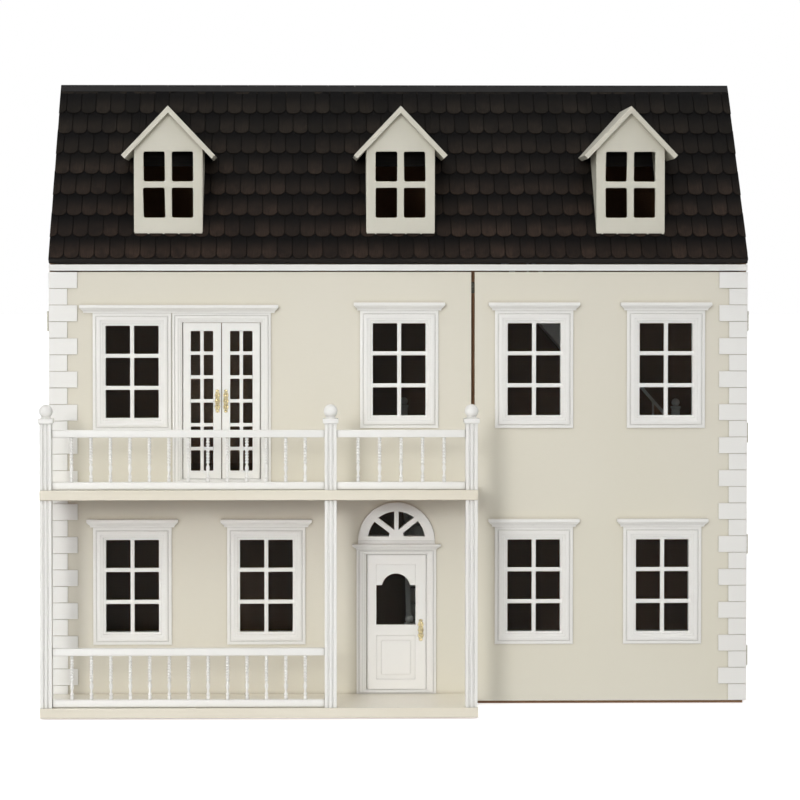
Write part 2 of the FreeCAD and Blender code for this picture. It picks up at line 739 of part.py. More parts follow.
def french_handle(side):
    near = FRENCH_MIDDLE + side * 1.5
    far = near + side * 7.5
    return handle(min(near, far), max(near, far), 366.0, 395.0, LEAF_BACK_Y - FRENCH_LEAF)


FAN_Z = 206.0
FAN_OUTER = 48.0
FAN_GLASS = 35.0
FAN_HUB = 8.75
FAN_SILL = 211.5


def half_disc(radius, y0, y1, z0):
    disc = rod_y(DOOR_MIDDLE, y0, y1, FAN_Z, radius)
    return disc.common(box(DOOR_MIDDLE - radius, DOOR_MIDDLE + radius, y0, y1, z0, FAN_Z + radius))


def fanlight_hole():
    return half_disc(FAN_GLASS + 2.1, FRONT_Y, PANEL_BACK_Y, FAN_Z)


def fanlight():
    """Half-round window over the front door, with three bars from its hub."""
    face_y = FRONT_Y - 4
    ring = half_disc(FAN_OUTER, face_y, FRONT_Y, FAN_Z)
    lining = half_disc(FAN_GLASS + 2.0, FRONT_Y, PANEL_BACK_Y, FAN_Z)
    light = half_disc(FAN_GLASS, face_y, PANEL_BACK_Y, FAN_SILL)
    light = light.cut(rod_y(DOOR_MIDDLE, face_y, PANEL_BACK_Y, FAN_Z, FAN_HUB))
    for angle in (-48, 0, 48):
        bar = box(DOOR_MIDDLE - 3, DOOR_MIDDLE + 3, face_y, PANEL_BACK_Y, FAN_Z, FAN_Z + FAN_OUTER)
        bar.rotate(FreeCAD.Vector(DOOR_MIDDLE, 0, FAN_Z), FreeCAD.Vector(0, 1, 0), angle)
        light = light.cut(bar)
    pocket = half_disc(FAN_GLASS + 1.0, BAR_BACK_Y, PANEL_BACK_Y, FAN_SILL - 1)
    return ring.fuse(lining).cut(light).cut(pocket)


def fanlight_glass():
    return half_disc(FAN_GLASS + 0.8, BAR_BACK_Y, BAR_BACK_Y + GLASS, FAN_SILL - 1)


def front_door_surround():
    """Frame, cornice, plinth band and fanlight over the front door."""
    frame = door_frame(DOOR, [DOOR_PIVOT_X])
    shelf = cornice(DOOR_MIDDLE, DOOR["casing_top"], 110.5, 6.5, FRONT_Y)
    band = box(DOOR_MIDDLE - FAN_OUTER, DOOR_MIDDLE + FAN_OUTER, FRONT_Y - 4, FRONT_Y, 201.5, FAN_Z)
    return [frame, shelf, band, fanlight()]


def french_surround():
    """Frame of the pair of leaves, and the long cornice that it shares with a window."""
    pivots = [french_span(side)[2] for side in (-1, 1)]
    shelf = cornice(-274.0, FRENCH["casing_top"], 247.5, 10.0, FRONT_Y)
    return [door_frame(FRENCH, pivots), shelf]


# ---------------------------------------------------------------- porch and balcony
def slab(top):
    return box(PORCH_LEFT, PORCH_RIGHT, PORCH_FRONT, FRONT_Y, top - SLAB, top)


def reeded_post(x, z0, z1):
    """Square post with two grooves down each face."""
    half = POST_WIDTH / 2
    post = box(x - half, x + half, POST_Y - half, POST_Y + half, z0, z1)
    grooves = []
    for offset in (-2.5, 2.5):
        for side in (-1, 1):
            grooves.append(rod(x + offset, POST_Y + side * half, z0, z1, 0.9))
            grooves.append(rod(x + side * half, POST_Y + offset, z0, z1, 0.9))
    return cut_all(post, grooves)


def newel(x):
    """Balcony post with a moulded cap and a ball."""
    cap_z = 358.0
    shaft = reeded_post(x, DECK_TOP, cap_z)
    half = POST_WIDTH / 2
    low = box(x - half - 1, x + half + 1, POST_Y - half - 1, POST_Y + half + 1, cap_z, cap_z + 1.2)
    high = box(x - half - 2.2, x + half + 2.2, POST_Y - half - 2.2, POST_Y + half + 2.2, cap_z + 1.2, cap_z + 6.4)
    ball = Part.makeSphere(8.3, FreeCAD.Vector(x, POST_Y, cap_z + 15.2))
    neck = Part.makeCone(7.4, 5.0, 2.6, FreeCAD.Vector(x, POST_Y, cap_z + 6.4))
    return fuse_all([shaft, low, high, neck, ball])


def rail(x0, x1, z0, z1):
    """Handrail or foot rail with eased upper edges."""
    half = 3.75
    ease = 1.5
    return prism_x([
        (POST_Y - half, z0),
        (POST_Y + half, z0),
        (POST_Y + half, z1 - ease),
        (POST_Y + half - ease, z1),
        (POST_Y - half + ease, z1),
        (POST_Y - half, z1 - ease),
    ], x0, x1)


BALUSTER_SHAPE = (
    (1.8, 0.00), (1.8, 0.08), (1.1, 0.12), (1.9, 0.24), (1.2, 0.36), (1.8, 0.40), (1.2, 0.44),
    (1.8, 0.48), (1.2, 0.52), (1.8, 0.56), (1.2, 0.60), (1.7, 0.66), (1.1, 0.88), (1.8, 0.93), (1.8, 1.00),
)


def balusters(x0, x1, z0, z1, count):
    pitch = (x1 - x0) / (count + 1)
    profile = [(radius, z0 + part * (z1 - z0)) for radius, part in BALUSTER_SHAPE]
    return [turned(x0 + pitch * (k + 1), POST_Y, profile) for k in range(count)]


def railing(left_post, right_post, foot_z, top_z, count):
    """Two rails between two posts with a row of turned balusters."""
    x0 = POST_XS[left_post] + POST_WIDTH / 2
    x1 = POST_XS[right_post] - POST_WIDTH / 2
    rail_height = 9.0
    pieces = [rail(x0, x1, foot_z, foot_z + rail_height), rail(x0, x1, top_z - rail_height, top_z)]
    return pieces + balusters(x0, x1, foot_z + rail_height, top_z - rail_height, count)


# ---------------------------------------------------------------- dormers
DORMER_SLOPE = math.tan(math.radians(DORMER_PITCH))
DORMER_COS = math.cos(math.radians(DORMER_PITCH))
DORMER_SIN = math.sin(math.radians(DORMER_PITCH))
DORMER_LOW_Z = 560.0
DORMER_BACK_Y = -15.0
DORMER_ROOF_FRONT_Y = DORMER_FACE_Y - 9.0


def above_front_roof(shape):
    """The part of a shape that stands above the front roof board."""
    reach = 200.0
    top = RIDGE_Z + 50
    space = prism_x([(-reach, roof_z(reach)), (0, RIDGE_Z), (0, top), (-reach, top)], -HALF_WIDTH, HALF_WIDTH)
    return shape.common(space)


def dormer_soffit_z(offset):
    """Height of the underside of a dormer's roof boards, that far from its middle."""
    return DORMER_PEAK_Z - offset * DORMER_SLOPE - DORMER_BOARD / DORMER_COS


def dormer_face_outline(middle):
    half = DORMER_HALF_WIDTH
    return [
        (middle - half, DORMER_LOW_Z),
        (middle + half, DORMER_LOW_Z),
        (middle + half, dormer_soffit_z(half)),
        (middle, dormer_soffit_z(0)),
        (middle - half, dormer_soffit_z(half)),
    ]


def dormer_roof_boards(middle):
    boards = []
    for side in (-1, 1):
        eave_z = DORMER_PEAK_Z - DORMER_EAVE * DORMER_SLOPE
        outline = [
            (middle, DORMER_PEAK_Z),
            (middle + side * DORMER_EAVE, eave_z),
            (middle + side * (DORMER_EAVE - DORMER_BOARD * DORMER_SIN), eave_z - DORMER_BOARD * DORMER_COS),
            (middle, dormer_soffit_z(0)),
        ]
        boards.append(above_front_roof(prism_y(outline, DORMER_ROOF_FRONT_Y, DORMER_BACK_Y)))
    return boards


def dormer_face(middle):
    back_y = DORMER_FACE_Y + DORMER_BOARD
    face = prism_y(dormer_face_outline(middle), DORMER_FACE_Y, back_y)
    panes = pane_grid(middle - 31.5, middle + 31.5, 614.3, 697.0, 2, 2, 7.9, DORMER_FACE_Y, back_y)
    return above_front_roof(cut_all(face, panes))


def dormer_cheek(middle, side):
    outer = DORMER_HALF_WIDTH
    inner = outer - DORMER_BOARD
    outline = [
        (middle + side * inner, DORMER_LOW_Z),
        (middle + side * outer, DORMER_LOW_Z),
        (middle + side * outer, dormer_soffit_z(outer)),
        (middle + side * inner, dormer_soffit_z(inner)),
    ]
    return above_front_roof(prism_y(outline, DORMER_FACE_Y + DORMER_BOARD, DORMER_BACK_Y))


def dormer(middle):
    cheeks = [dormer_cheek(middle, side) for side in (-1, 1)]
    return [dormer_face(middle)] + cheeks + dormer_roof_boards(middle)


def dormer_footprint(middle):
    """Everything inside a dormer's outer faces, where no shingle lies."""
    body = prism_y(dormer_face_outline(middle), DORMER_FACE_Y, DORMER_BACK_Y)
    return [body] + dormer_roof_boards(middle)


def dormer_opening(middle):
    """Hole in the roof board that opens a dormer to the attic."""
    half = DORMER_HALF_WIDTH - DORMER_BOARD
    return box(middle - half, middle + half, DORMER_FACE_Y + DORMER_BOARD, -75.0, DORMER_LOW_Z, RIDGE_Z)


def front_roof_panel():
    return cut_all(roof_board(-1), [dormer_opening(middle) for middle in DORMER_CENTRES.values()])


def front_shingles():
    tools = [tool for middle in DORMER_CENTRES.values() for tool in dormer_footprint(middle)]
    return [cut_all(course, tools) for course in shingle_courses(-1)]


# ---------------------------------------------------------------- nodes
def save_house():
    save("base_board", box(-HALF_WIDTH + 3, HALF_WIDTH - 3, EDGE_Y, BACK_Y, 0, BOARD))
    save("left_side_wall", side_wall(-1))
    save("right_side_wall", side_wall(1))
    save("back_wall", back_wall())
    save("first_floor", first_floor())
    save("attic_floor", attic_floor())
    plate_room = catch_plate()
    for name, side in (("left", -1), ("right", 1)):
        hall_door = (-155.0, -85.0) if side > 0 else (-45.0, 30.0)
        save("ground_partition_" + name, partition(side, BOARD, CEILING_Z, *hall_door, 175.0))
        upper = partition(side, FIRST_FLOOR_TOP, UPPER_CEILING_Z, *hall_door, 175.0)
        save("upper_partition_" + name, upper.cut(plate_room))
        save("attic_partition_" + name, attic_partition(side))
    save("rear_roof_panel", roof_board(1))
    save("rear_shingles", shingle_courses(1))
    save("eaves_strip", eaves_strip())
    save("catch_plate", catch_plate())


def save_stairs():
    hall = HALL_STAIR
    save("hall_staircase", flight(hall["foot"], BOARD, FIRST_FLOOR_TOP, hall["tread"], hall["x0"], hall["x1"]))
    rail_x0 = hall["x0"] - STRINGER
    rails = balustrade(hall["foot"], BOARD, FIRST_FLOOR_TOP, hall["tread"], rail_x0, hall["x0"], NEWEL_HEIGHT)
    save("hall_balustrade", rails)
    steps, rails = attic_stairs()
    save("attic_staircase", steps)
    save("attic_balustrade", rails)


def save_hinges():
    sides = (("left", -1), ("right", 1))
    wall_leaves = [side_hinge_leaf(side, height, False) for _, side in sides for height in HINGE_HEIGHTS]
    save("house_hinge_leaves", wall_leaves)
    pins = [side_hinge_pin(side, height) for _, side in sides for height in HINGE_HEIGHTS]
    save("hinge_pins", pins + [ridge_hinge_pin()])
    for name, side in sides:
        save(name + "_hinge_leaves", [side_hinge_leaf(side, height, True) for height in HINGE_HEIGHTS])
    save("ridge_hinge_rear_leaf", ridge_hinge_leaf(1, 0))
    save("ridge_hinge_front_leaf", ridge_hinge_leaf(-1, 1))


def windows(places):
    return [piece for place in places for piece in window_with_cornice(*place)]


def glazing(places):
    return [window_glass(*place) for place in places]


def save_left_front():
    save("left_front_panel", left_front_panel())
    save("left_quoins", [cut_all(block, [slab(PORCH_TOP), slab(DECK_TOP)]) for block in quoins(-1)])
    outer, inner = LEFT_UPPER_WINDOWS
    save("left_upper_windows", [window_frame(*outer)] + window_with_cornice(*inner))
    save("left_lower_windows", windows(LEFT_LOWER_WINDOWS))
    save("left_glazing", glazing(LEFT_UPPER_WINDOWS + LEFT_LOWER_WINDOWS) + [fanlight_glass()])
    save("french_door_surround", french_surround())
    save("front_door_surround", front_door_surround())
    save("left_catch_magnet", catch_magnet(82.0, LEFT_PANEL_EDGE - 1))


def save_porch():
    save("porch_floor", slab(PORCH_TOP))
    save("balcony_deck", slab(DECK_TOP))
    save("porch_columns", [reeded_post(x, PORCH_TOP, DECK_TOP - SLAB) for x in POST_XS])
    save("balcony_newels", [newel(x) for x in POST_XS])
    save("porch_railing", railing(0, 1, PORCH_TOP + 0.5, 86.0, 13))
    balcony = railing(0, 1, DECK_TOP + 0.5, 350.5, 13) + railing(1, 2, DECK_TOP + 0.5, 350.5, 5)
    save("balcony_railing", balcony)


def save_right_front():
    save("right_front_panel", right_front_panel())
    save("right_quoins", quoins(1))
    save("right_upper_windows", windows(RIGHT_UPPER_WINDOWS))
    save("right_lower_windows", windows(RIGHT_LOWER_WINDOWS))
    save("right_glazing", glazing(RIGHT_UPPER_WINDOWS + RIGHT_LOWER_WINDOWS))
    save("right_catch_magnet", catch_magnet(RIGHT_PANEL_EDGE + 1, 106.5))


def save_roof():
    save("front_roof_panel", front_roof_panel())
    save("front_shingles", front_shingles())
    for name, middle in DORMER_CENTRES.items():
        save(name + "_dormer", dormer(middle))


def save_doors():
    save("front_door", front_door())
    save("front_door_glass", front_door_glass())
    save("front_door_handle", handle(23.5, 31.5, 80.0, 107.5, LEAF_BACK_Y - DOOR_LEAF))
    for name, side in (("left", -1), ("right", 1)):
        save("french_door_" + name, french_door(side))
        save("french_glass_" + name, french_glass(side))
        save("french_handle_" + name, french_handle(side))


os.makedirs("parts", exist_ok=True)
save_house()
save_stairs()
save_hinges()
save_left_front()
save_porch()
save_right_front()
save_roof()
save_doors()
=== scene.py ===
"""Looks of the wooden dollhouse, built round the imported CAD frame. Lengths are in metres."""

import math
import random

import bmesh
import bpy
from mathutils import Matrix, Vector


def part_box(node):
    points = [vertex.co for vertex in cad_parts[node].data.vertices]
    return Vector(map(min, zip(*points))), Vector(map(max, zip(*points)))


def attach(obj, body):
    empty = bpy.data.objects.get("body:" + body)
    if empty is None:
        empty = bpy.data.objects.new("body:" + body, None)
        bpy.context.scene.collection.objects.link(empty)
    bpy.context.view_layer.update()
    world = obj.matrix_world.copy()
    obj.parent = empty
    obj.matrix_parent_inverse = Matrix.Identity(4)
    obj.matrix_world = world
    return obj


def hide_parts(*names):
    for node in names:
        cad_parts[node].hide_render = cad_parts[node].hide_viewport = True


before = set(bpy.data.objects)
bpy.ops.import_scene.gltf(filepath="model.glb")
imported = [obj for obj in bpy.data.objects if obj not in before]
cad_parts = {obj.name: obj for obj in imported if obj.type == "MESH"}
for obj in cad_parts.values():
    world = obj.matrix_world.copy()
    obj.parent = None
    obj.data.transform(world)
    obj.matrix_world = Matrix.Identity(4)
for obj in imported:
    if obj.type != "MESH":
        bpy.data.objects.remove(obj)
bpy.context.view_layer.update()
rng = random.Random(11)
MM = 0.001

# ---------------- dimensions that several sections share
WALL_Y = -0.175             # outer face of the front panels
INNER_Y = -0.166            # their inner face
BAR_BACK_Y = -0.1725        # back of the glazing bars
ROOF_HALF = 0.436           # the roof's half width
APEX_Z = 0.785              # where the upper faces of the two roof boards meet
PITCH = math.radians(51.5)
PITCH_TAN = math.tan(PITCH)
DORMER_PITCH = math.radians(46.5)


# ---------------- materials
def srgb(red, green, blue):
    """Linear colour of an sRGB colour given from 0 to 255."""
    def linear(value):
        value /= 255
        return value / 12.92 if value <= 0.04045 else ((value + 0.055) / 1.055) ** 2.4
    return (linear(red), linear(green), linear(blue), 1.0)


class Finish:
    """A Principled material and short ways to add the nodes that drive it."""

    def __init__(self, name, roughness=0.5, metallic=0.0, specular=0.5):
        self.material = bpy.data.materials.new(name)
        self.material.use_nodes = True
        self.nodes = self.material.node_tree.nodes
        self.links = self.material.node_tree.links
        self.shader = self.nodes["Principled BSDF"]
        self.shader.inputs["Roughness"].default_value = roughness
        self.shader.inputs["Metallic"].default_value = metallic
        self.shader.inputs["Specular IOR Level"].default_value = specular
        self.coords = self.nodes.new("ShaderNodeTexCoord")
        self.place = self.coords.outputs["Object"]

    def feed(self, socket, value):
        """Give a socket a constant, or link another socket to it."""
        if isinstance(value, (int, float, tuple)):
            socket.default_value = value
        else:
            self.links.new(value, socket)

    def stretched(self, x, y, z):
        """Object coordinates at a scale of its own along each axis."""
        mapping = self.nodes.new("ShaderNodeMapping")
        mapping.inputs["Scale"].default_value = (x, y, z)
        self.links.new(self.place, mapping.inputs["Vector"])
        return mapping.outputs["Vector"]

    def noise(self, scale, detail=3.0, rough=0.55, vector=None):
        node = self.nodes.new("ShaderNodeTexNoise")
        node.inputs["Scale"].default_value = scale
        node.inputs["Detail"].default_value = detail
        node.inputs["Roughness"].default_value = rough
        self.links.new(vector or self.place, node.inputs["Vector"])
        return node.outputs["Fac"]

    def attribute(self, name):
        node = self.nodes.new("ShaderNodeAttribute")
        node.attribute_name = name
        return node.outputs["Fac"]

    def axis(self, which, vector=None):
        node = self.nodes.new("ShaderNodeSeparateXYZ")
        self.links.new(vector or self.place, node.inputs["Vector"])
        return node.outputs[which]

    def math(self, kind, a, b=0.0):
        node = self.nodes.new("ShaderNodeMath")
        node.operation = kind
        for socket, value in zip(node.inputs, (a, b)):
            self.feed(socket, value)
        return node.outputs["Value"]

    def spread(self, value, low, high, to_low=0.0, to_high=1.0):
        """Ease from to_low, where the value is low, to to_high, where it is high."""
        node = self.nodes.new("ShaderNodeMapRange")
        node.interpolation_type = "SMOOTHSTEP"
        self.links.new(value, node.inputs["Value"])
        for name, number in (("From Min", low), ("From Max", high), ("To Min", to_low), ("To Max", to_high)):
            node.inputs[name].default_value = number
        return node.outputs["Result"]

    def mix(self, factor, a, b):
        """Colour a, turning into colour b as the factor goes from 0 to 1."""
        node = self.nodes.new("ShaderNodeMix")
        node.data_type = "RGBA"
        colours = [socket for socket in node.inputs if socket.type == "RGBA"]
        for socket, value in zip((node.inputs["Factor"], *colours), (factor, a, b)):
            self.feed(socket, value)
        return next(socket for socket in node.outputs if socket.type == "RGBA")

    def crevice(self, distance):
        """1 in the open, falling to 0 in corners and joints."""
        node = self.nodes.new("ShaderNodeAmbientOcclusion")
        node.samples = 6
        node.inputs["Distance"].default_value = distance
        return node.outputs["AO"]

    def relief(self, height, distance, strength):
        node = self.nodes.new("ShaderNodeBump")
        node.inputs["Distance"].default_value = distance
        node.inputs["Strength"].default_value = strength
        self.links.new(height, node.inputs["Height"])
        self.links.new(node.outputs["Normal"], self.shader.inputs["Normal"])

    def colour(self, value):
        self.links.new(value, self.shader.inputs["Base Color"])

    def gloss(self, value):
        self.links.new(value, self.shader.inputs["Roughness"])


def board_colour(finish):
    """Fibreboard: a warm brown with pale fibres and dark flecks."""
    fibres = finish.noise(900, 4.0, 0.7)
    flecks = finish.noise(2600, 2.0)
    broad = finish.noise(9, 2.0)
    base = finish.mix(finish.spread(broad, 0.2, 0.8), srgb(138, 105, 78), srgb(146, 111, 83))
    base = finish.mix(finish.spread(fibres, 0.5, 0.75), base, srgb(176, 142, 110))
    return finish.mix(finish.spread(flecks, 0.6, 0.8, 0.0, 0.7), base, srgb(92, 66, 48))


def paint_colour(finish, pale, deep, corner_shade):
    """Brushed paint: slow drifts of tone, faint strokes, and painted shade in the corners."""
    drift = finish.noise(3.0, 2.0)
    strokes = finish.noise(1.0, 3.0, 0.6, finish.stretched(90, 90, 700))
    base = finish.mix(finish.spread(drift, 0.2, 0.8), pale, deep)
    base = finish.mix(finish.spread(strokes, 0.35, 0.75, 0.0, 0.22), base, deep)
    # Painted shade: corners and joints, found by the crevice mask, turn towards the shade colour.
    open_air = finish.crevice(0.006)
    return finish.mix(finish.spread(open_air, 0.25, 0.95, 0.55, 0.0), base, corner_shade)


def paint_relief(finish):
    """Brush strokes and a little orange peel."""
    strokes = finish.noise(1.0, 4.0, 0.6, finish.stretched(160, 160, 1100))
    orange_peel = finish.noise(520, 2.0)
    finish.relief(finish.math("ADD", strokes, finish.math("MULTIPLY", orange_peel, 0.6)), 0.00022, 0.5)


def painted(name, pale, deep, corner_shade, roughness):
    finish = Finish(name, roughness, specular=0.4)
    finish.colour(paint_colour(finish, pale, deep, corner_shade))
    finish.gloss(finish.spread(finish.noise(60, 3.0), 0.25, 0.75, roughness - 0.07, roughness + 0.08))
    paint_relief(finish)
    return finish.material


PAINT_FROM_X = 0.4354       # the paint starts this far out, a little under the walls' faces
PAINT_FROM_Y = 0.1744


def wall_finish():
    """Cream paint on the outside of the walls, bare board everywhere else."""
    finish = Finish("cream_wall_paint", 0.55, specular=0.35)
    cream = paint_colour(finish, srgb(222, 217, 203), srgb(218, 213, 196), srgb(164, 152, 126))
    sideways = finish.math("ABSOLUTE", finish.axis("X"))
    depth = finish.math("ABSOLUTE", finish.axis("Y"))
    on_side = finish.math("GREATER_THAN", sideways, PAINT_FROM_X)
    on_face = finish.math("GREATER_THAN", depth, PAINT_FROM_Y)
    outside = finish.math("MAXIMUM", on_side, on_face)
    finish.colour(finish.mix(outside, board_colour(finish), cream))
    paint_relief(finish)
    return finish.material


def deck_finish():
    """Warm cream paint on the porch slabs, their tops painted lighter than their edges as painted light;
    their undersides are bare.
    """
    finish = Finish("deck_edge_paint", 0.2, specular=0.5)
    edge = paint_colour(finish, srgb(229, 223, 207), srgb(223, 215, 197), srgb(168, 156, 136))
    # Painted light: the tops get a lighter copy of the edges' cream, as if lit from above.
    top = paint_colour(finish, srgb(246, 242, 228), srgb(242, 236, 220), srgb(190, 180, 158))
    facing = finish.axis("Z", finish.coords.outputs["Normal"])
    cream = finish.mix(finish.math("GREATER_THAN", facing, 0.7), edge, top)
    finish.colour(finish.mix(finish.math("LESS_THAN", facing, -0.7), cream, board_colour(finish)))
    paint_relief(finish)
    return finish.material


def raw_board_finish():
    """Bare fibreboard, as inside the house."""
    finish = Finish("bare_fibreboard", 0.82, specular=0.2)
    finish.colour(board_colour(finish))
    finish.relief(finish.noise(1400, 4.0, 0.7), 0.00015, 0.6)
    return finish.material


STAIN_DEPTH = 0.0143        # how far below the roof's upper faces, measured upright, the stain reaches


def roof_board_finish():
    """Dark stain on the top and edges of the roof boards; bare underneath."""
    finish = Finish("stained_roof_board", 0.62, specular=0.15)
    grain = finish.noise(1.0, 5.0, 0.65, finish.stretched(30, 900, 900))
    stain = finish.mix(finish.spread(grain, 0.3, 0.7), srgb(21, 19, 18), srgb(33, 28, 25))
    depth = finish.math("ABSOLUTE", finish.axis("Y"))
    height = finish.math("ADD", finish.axis("Z"), finish.math("MULTIPLY", depth, PITCH_TAN))
    under = finish.math("LESS_THAN", height, APEX_Z - STAIN_DEPTH)
    finish.colour(finish.mix(under, stain, board_colour(finish)))
    finish.relief(grain, 0.0003, 0.6)
    return finish.material


def shingle_finish():
    """Stained wooden shingles: lighter at the butt and nearly black towards the head, as painted shade under
    the course above, and browner low on the roof.
    """
    finish = Finish("stained_shingle", 0.7, specular=0.08)
    tone = finish.attribute("tone")
    foot = finish.attribute("foot")
    low = finish.spread(finish.axis("Z"), 0.56, 0.76, 1.0, 0.0)
    # Painted shade: the upper part of each shingle, just under the course above, is made nearly black.
    head = finish.mix(tone, srgb(11, 10, 11), srgb(18, 16, 15))
    butt = finish.mix(tone, srgb(32, 29, 25), srgb(49, 43, 37))
    brown = finish.mix(tone, srgb(42, 34, 29), srgb(65, 52, 44))
    butt = finish.mix(low, butt, brown)
    base = finish.mix(finish.spread(foot, 0.2, 0.85), butt, head)
    grain = finish.noise(1.0, 5.0, 0.7, finish.stretched(1300, 70, 70))
    blotch = finish.noise(70, 3.0)
    base = finish.mix(finish.spread(grain, 0.35, 0.7, 0.5, 0.0), base, srgb(12, 11, 11))
    base = finish.mix(finish.spread(blotch, 0.4, 0.75, 0.0, 0.45), base, srgb(19, 17, 17))
    finish.colour(base)
    finish.gloss(finish.spread(grain, 0.2, 0.8, 0.52, 0.78))
    finish.relief(grain, 0.0004, 0.7)
    return finish.material


def metal(name, bright, dull, roughness):
    """Worn metal, darkened in its crevices as painted shade."""
    finish = Finish(name, roughness, metallic=1.0)
    patches = finish.noise(420, 4.0, 0.6)
    base = finish.mix(finish.spread(patches, 0.35, 0.7), bright, dull)
    # Painted shade: the crevices turn towards a dark copy of the dull colour.
    crevice_shade = tuple(0.35 * channel for channel in dull[:3]) + (1.0,)
    base = finish.mix(finish.spread(finish.crevice(0.002), 0.45, 0.97, 0.9, 0.0), base, crevice_shade)
    finish.colour(base)
    finish.gloss(finish.spread(patches, 0.3, 0.7, roughness - 0.08, roughness + 0.12))
    finish.relief(finish.noise(1500, 2.0), 0.00008, 0.5)
    return finish.material


def pane_finish():
    """Clear sheet, slightly hazy."""
    finish = Finish("clear_pane", 0.04, specular=0.1)
    finish.shader.inputs["Transmission Weight"].default_value = 1.0
    finish.shader.inputs["IOR"].default_value = 1.12
    haze = finish.noise(30, 3.0)
    finish.colour(finish.mix(haze, srgb(226, 230, 228), srgb(240, 242, 240)))
    finish.gloss(finish.spread(haze, 0.3, 0.7, 0.02, 0.07))
    return finish.material


finishes = {
    "wall": wall_finish(),
    # The dormers' cream, darker than the walls': partly their own paint, partly painted shade under their
    # roof boards. The hinges share it.
    "cream": painted("dormer_cream_and_painted_shade",
                     srgb(211, 208, 194), srgb(206, 202, 187), srgb(146, 138, 120), 0.5),
    "white": painted("white_trim_paint",
                     srgb(238, 237, 233), srgb(232, 230, 225), srgb(168, 164, 156), 0.42),
    "deck": deck_finish(),
    "board": raw_board_finish(),
    "roof_board": roof_board_finish(),
    "shingle": shingle_finish(),
    "brass": metal("cast_brass", srgb(228, 216, 176), srgb(158, 141, 98), 0.24),
    "steel": metal("plated_steel", srgb(120, 118, 108), srgb(74, 71, 62), 0.42),
    "dark_steel": painted("dark_painted_steel",
                          srgb(24, 22, 21), srgb(19, 17, 17), srgb(12, 11, 11), 0.6),
    "pane": pane_finish(),
}

# Nodes that are in none of these lists are painted white.
NODE_FINISH = {
    "wall": ["left_front_panel", "right_front_panel",
             "left_side_wall", "right_side_wall", "back_wall"],
    "cream": ["left_dormer", "middle_dormer", "right_dormer",
              "left_hinge_leaves", "right_hinge_leaves", "house_hinge_leaves", "hinge_pins"],
    "deck": ["porch_floor", "balcony_deck"],
    "roof_board": ["front_roof_panel", "rear_roof_panel"],
    "shingle": ["front_shingles", "rear_shingles"],
    "brass": ["front_door_handle", "french_handle_left", "french_handle_right"],
    "steel": ["catch_plate", "left_catch_magnet", "right_catch_magnet"],
    "dark_steel": ["ridge_hinge_front_leaf", "ridge_hinge_rear_leaf"],
    "pane": ["left_glazing", "right_glazing",
             "front_door_glass", "french_glass_left", "french_glass_right"],
    "board": ["base_board", "first_floor", "attic_floor",
              "ground_partition_left", "ground_partition_right",
              "upper_partition_left", "upper_partition_right",
              "attic_partition_left", "attic_partition_right"],
}
finish_of = {node: name for name, nodes in NODE_FINISH.items() for node in nodes}
for node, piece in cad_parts.items():
    piece.data.materials.clear()
    piece.data.materials.append(finishes[finish_of.get(node, "white")])


def soften(node, width):
    """Ease the sharp edges of a CAD node."""
    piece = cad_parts[node]
    weld = piece.modifiers.new("weld", "WELD")
    weld.merge_threshold = 0.000002
    bevel = piece.modifiers.new("ease", "BEVEL")
    bevel.width = width
    bevel.segments = 2
    bevel.limit_method = "ANGLE"
    bevel.angle_limit = math.radians(40)
    bevel.use_clamp_overlap = False
    bevel.harden_normals = True


# ---------------- mesh helpers
def piece_from(build, name, finish, body, replaced, smooth_angle):
    """Turn a bmesh into a piece that rides on a body, in place of a CAD node."""
    bmesh.ops.remove_doubles(build, verts=build.verts, dist=0.000001)
    bmesh.ops.recalc_face_normals(build, faces=build.faces)
    mesh = bpy.data.meshes.new(name)
    build.to_mesh(mesh)
    build.free()
    mesh.materials.append(finishes[finish])
    mesh.shade_smooth()
    mesh.set_sharp_from_angle(angle=math.radians(smooth_angle))
    piece = bpy.data.objects.new(name, mesh)
    bpy.context.scene.collection.objects.link(piece)
    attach(piece, body)
    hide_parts(replaced)


def join_loops(build, loops, closed_path=True):
    """Quads between consecutive loops of the same number of vertices."""
    for first, second in zip(loops, loops[1:] + loops[:1] if closed_path else loops[1:]):
        count = len(first)
        for k in range(count):
            build.faces.new((first[k], first[(k + 1) % count], second[(k + 1) % count], second[k]))


def rectangle_moulding(build, x0, x1, z0, z1, profile, head=1.0, sill=1.0):
    """A mitred moulding round a rectangle. The profile is (inset, y) points of a closed outline.

    head and sill say how wide the upper and lower sides are, as a share of the upright sides.
    """
    loops = []
    for inset, y in profile:
        low = z0 + inset * sill
        high = z1 - inset * head
        corners = ((x0 + inset, low), (x1 - inset, low), (x1 - inset, high), (x0 + inset, high))
        loops.append([build.verts.new((x, y, z)) for x, z in corners])
    join_loops(build, loops)


def shelf_moulding(build, middle, width, bottom, wall_y, profile):
    """A cornice with mitred returns. The profile is (out, up) points from the wall round to the wall."""
    reach = max(out for out, _ in profile)
    rows = []
    for out, up in profile:
        half = width / 2 - (reach - out)
        z = bottom + up
        path = ((-half, wall_y), (-half, wall_y - out), (half, wall_y - out), (half, wall_y))
        rows.append([build.verts.new((middle + x, y, z)) for x, y in path])
    for low, high in zip(rows, rows[1:]):
        for k in range(3):
            build.faces.new((low[k], low[k + 1], high[k + 1], high[k]))
    build.faces.new([row[0] for row in rows] + [row[3] for row in reversed(rows)])


def rounded_loop(x0, x1, z0, z1, radius, steps):
    """A rectangle with round corners, anticlockwise from its right side."""
    points = []
    for cx, cz, turn in ((x1 - radius, z1 - radius, 0), (x0 + radius, z1 - radius, 90),
                         (x0 + radius, z0 + radius, 180), (x1 - radius, z0 + radius, 270)):
        for k in range(steps + 1):
            angle = math.radians(turn + 90 * k / steps)
            points.append((cx + radius * math.cos(angle), cz + radius * math.sin(angle)))
    return points


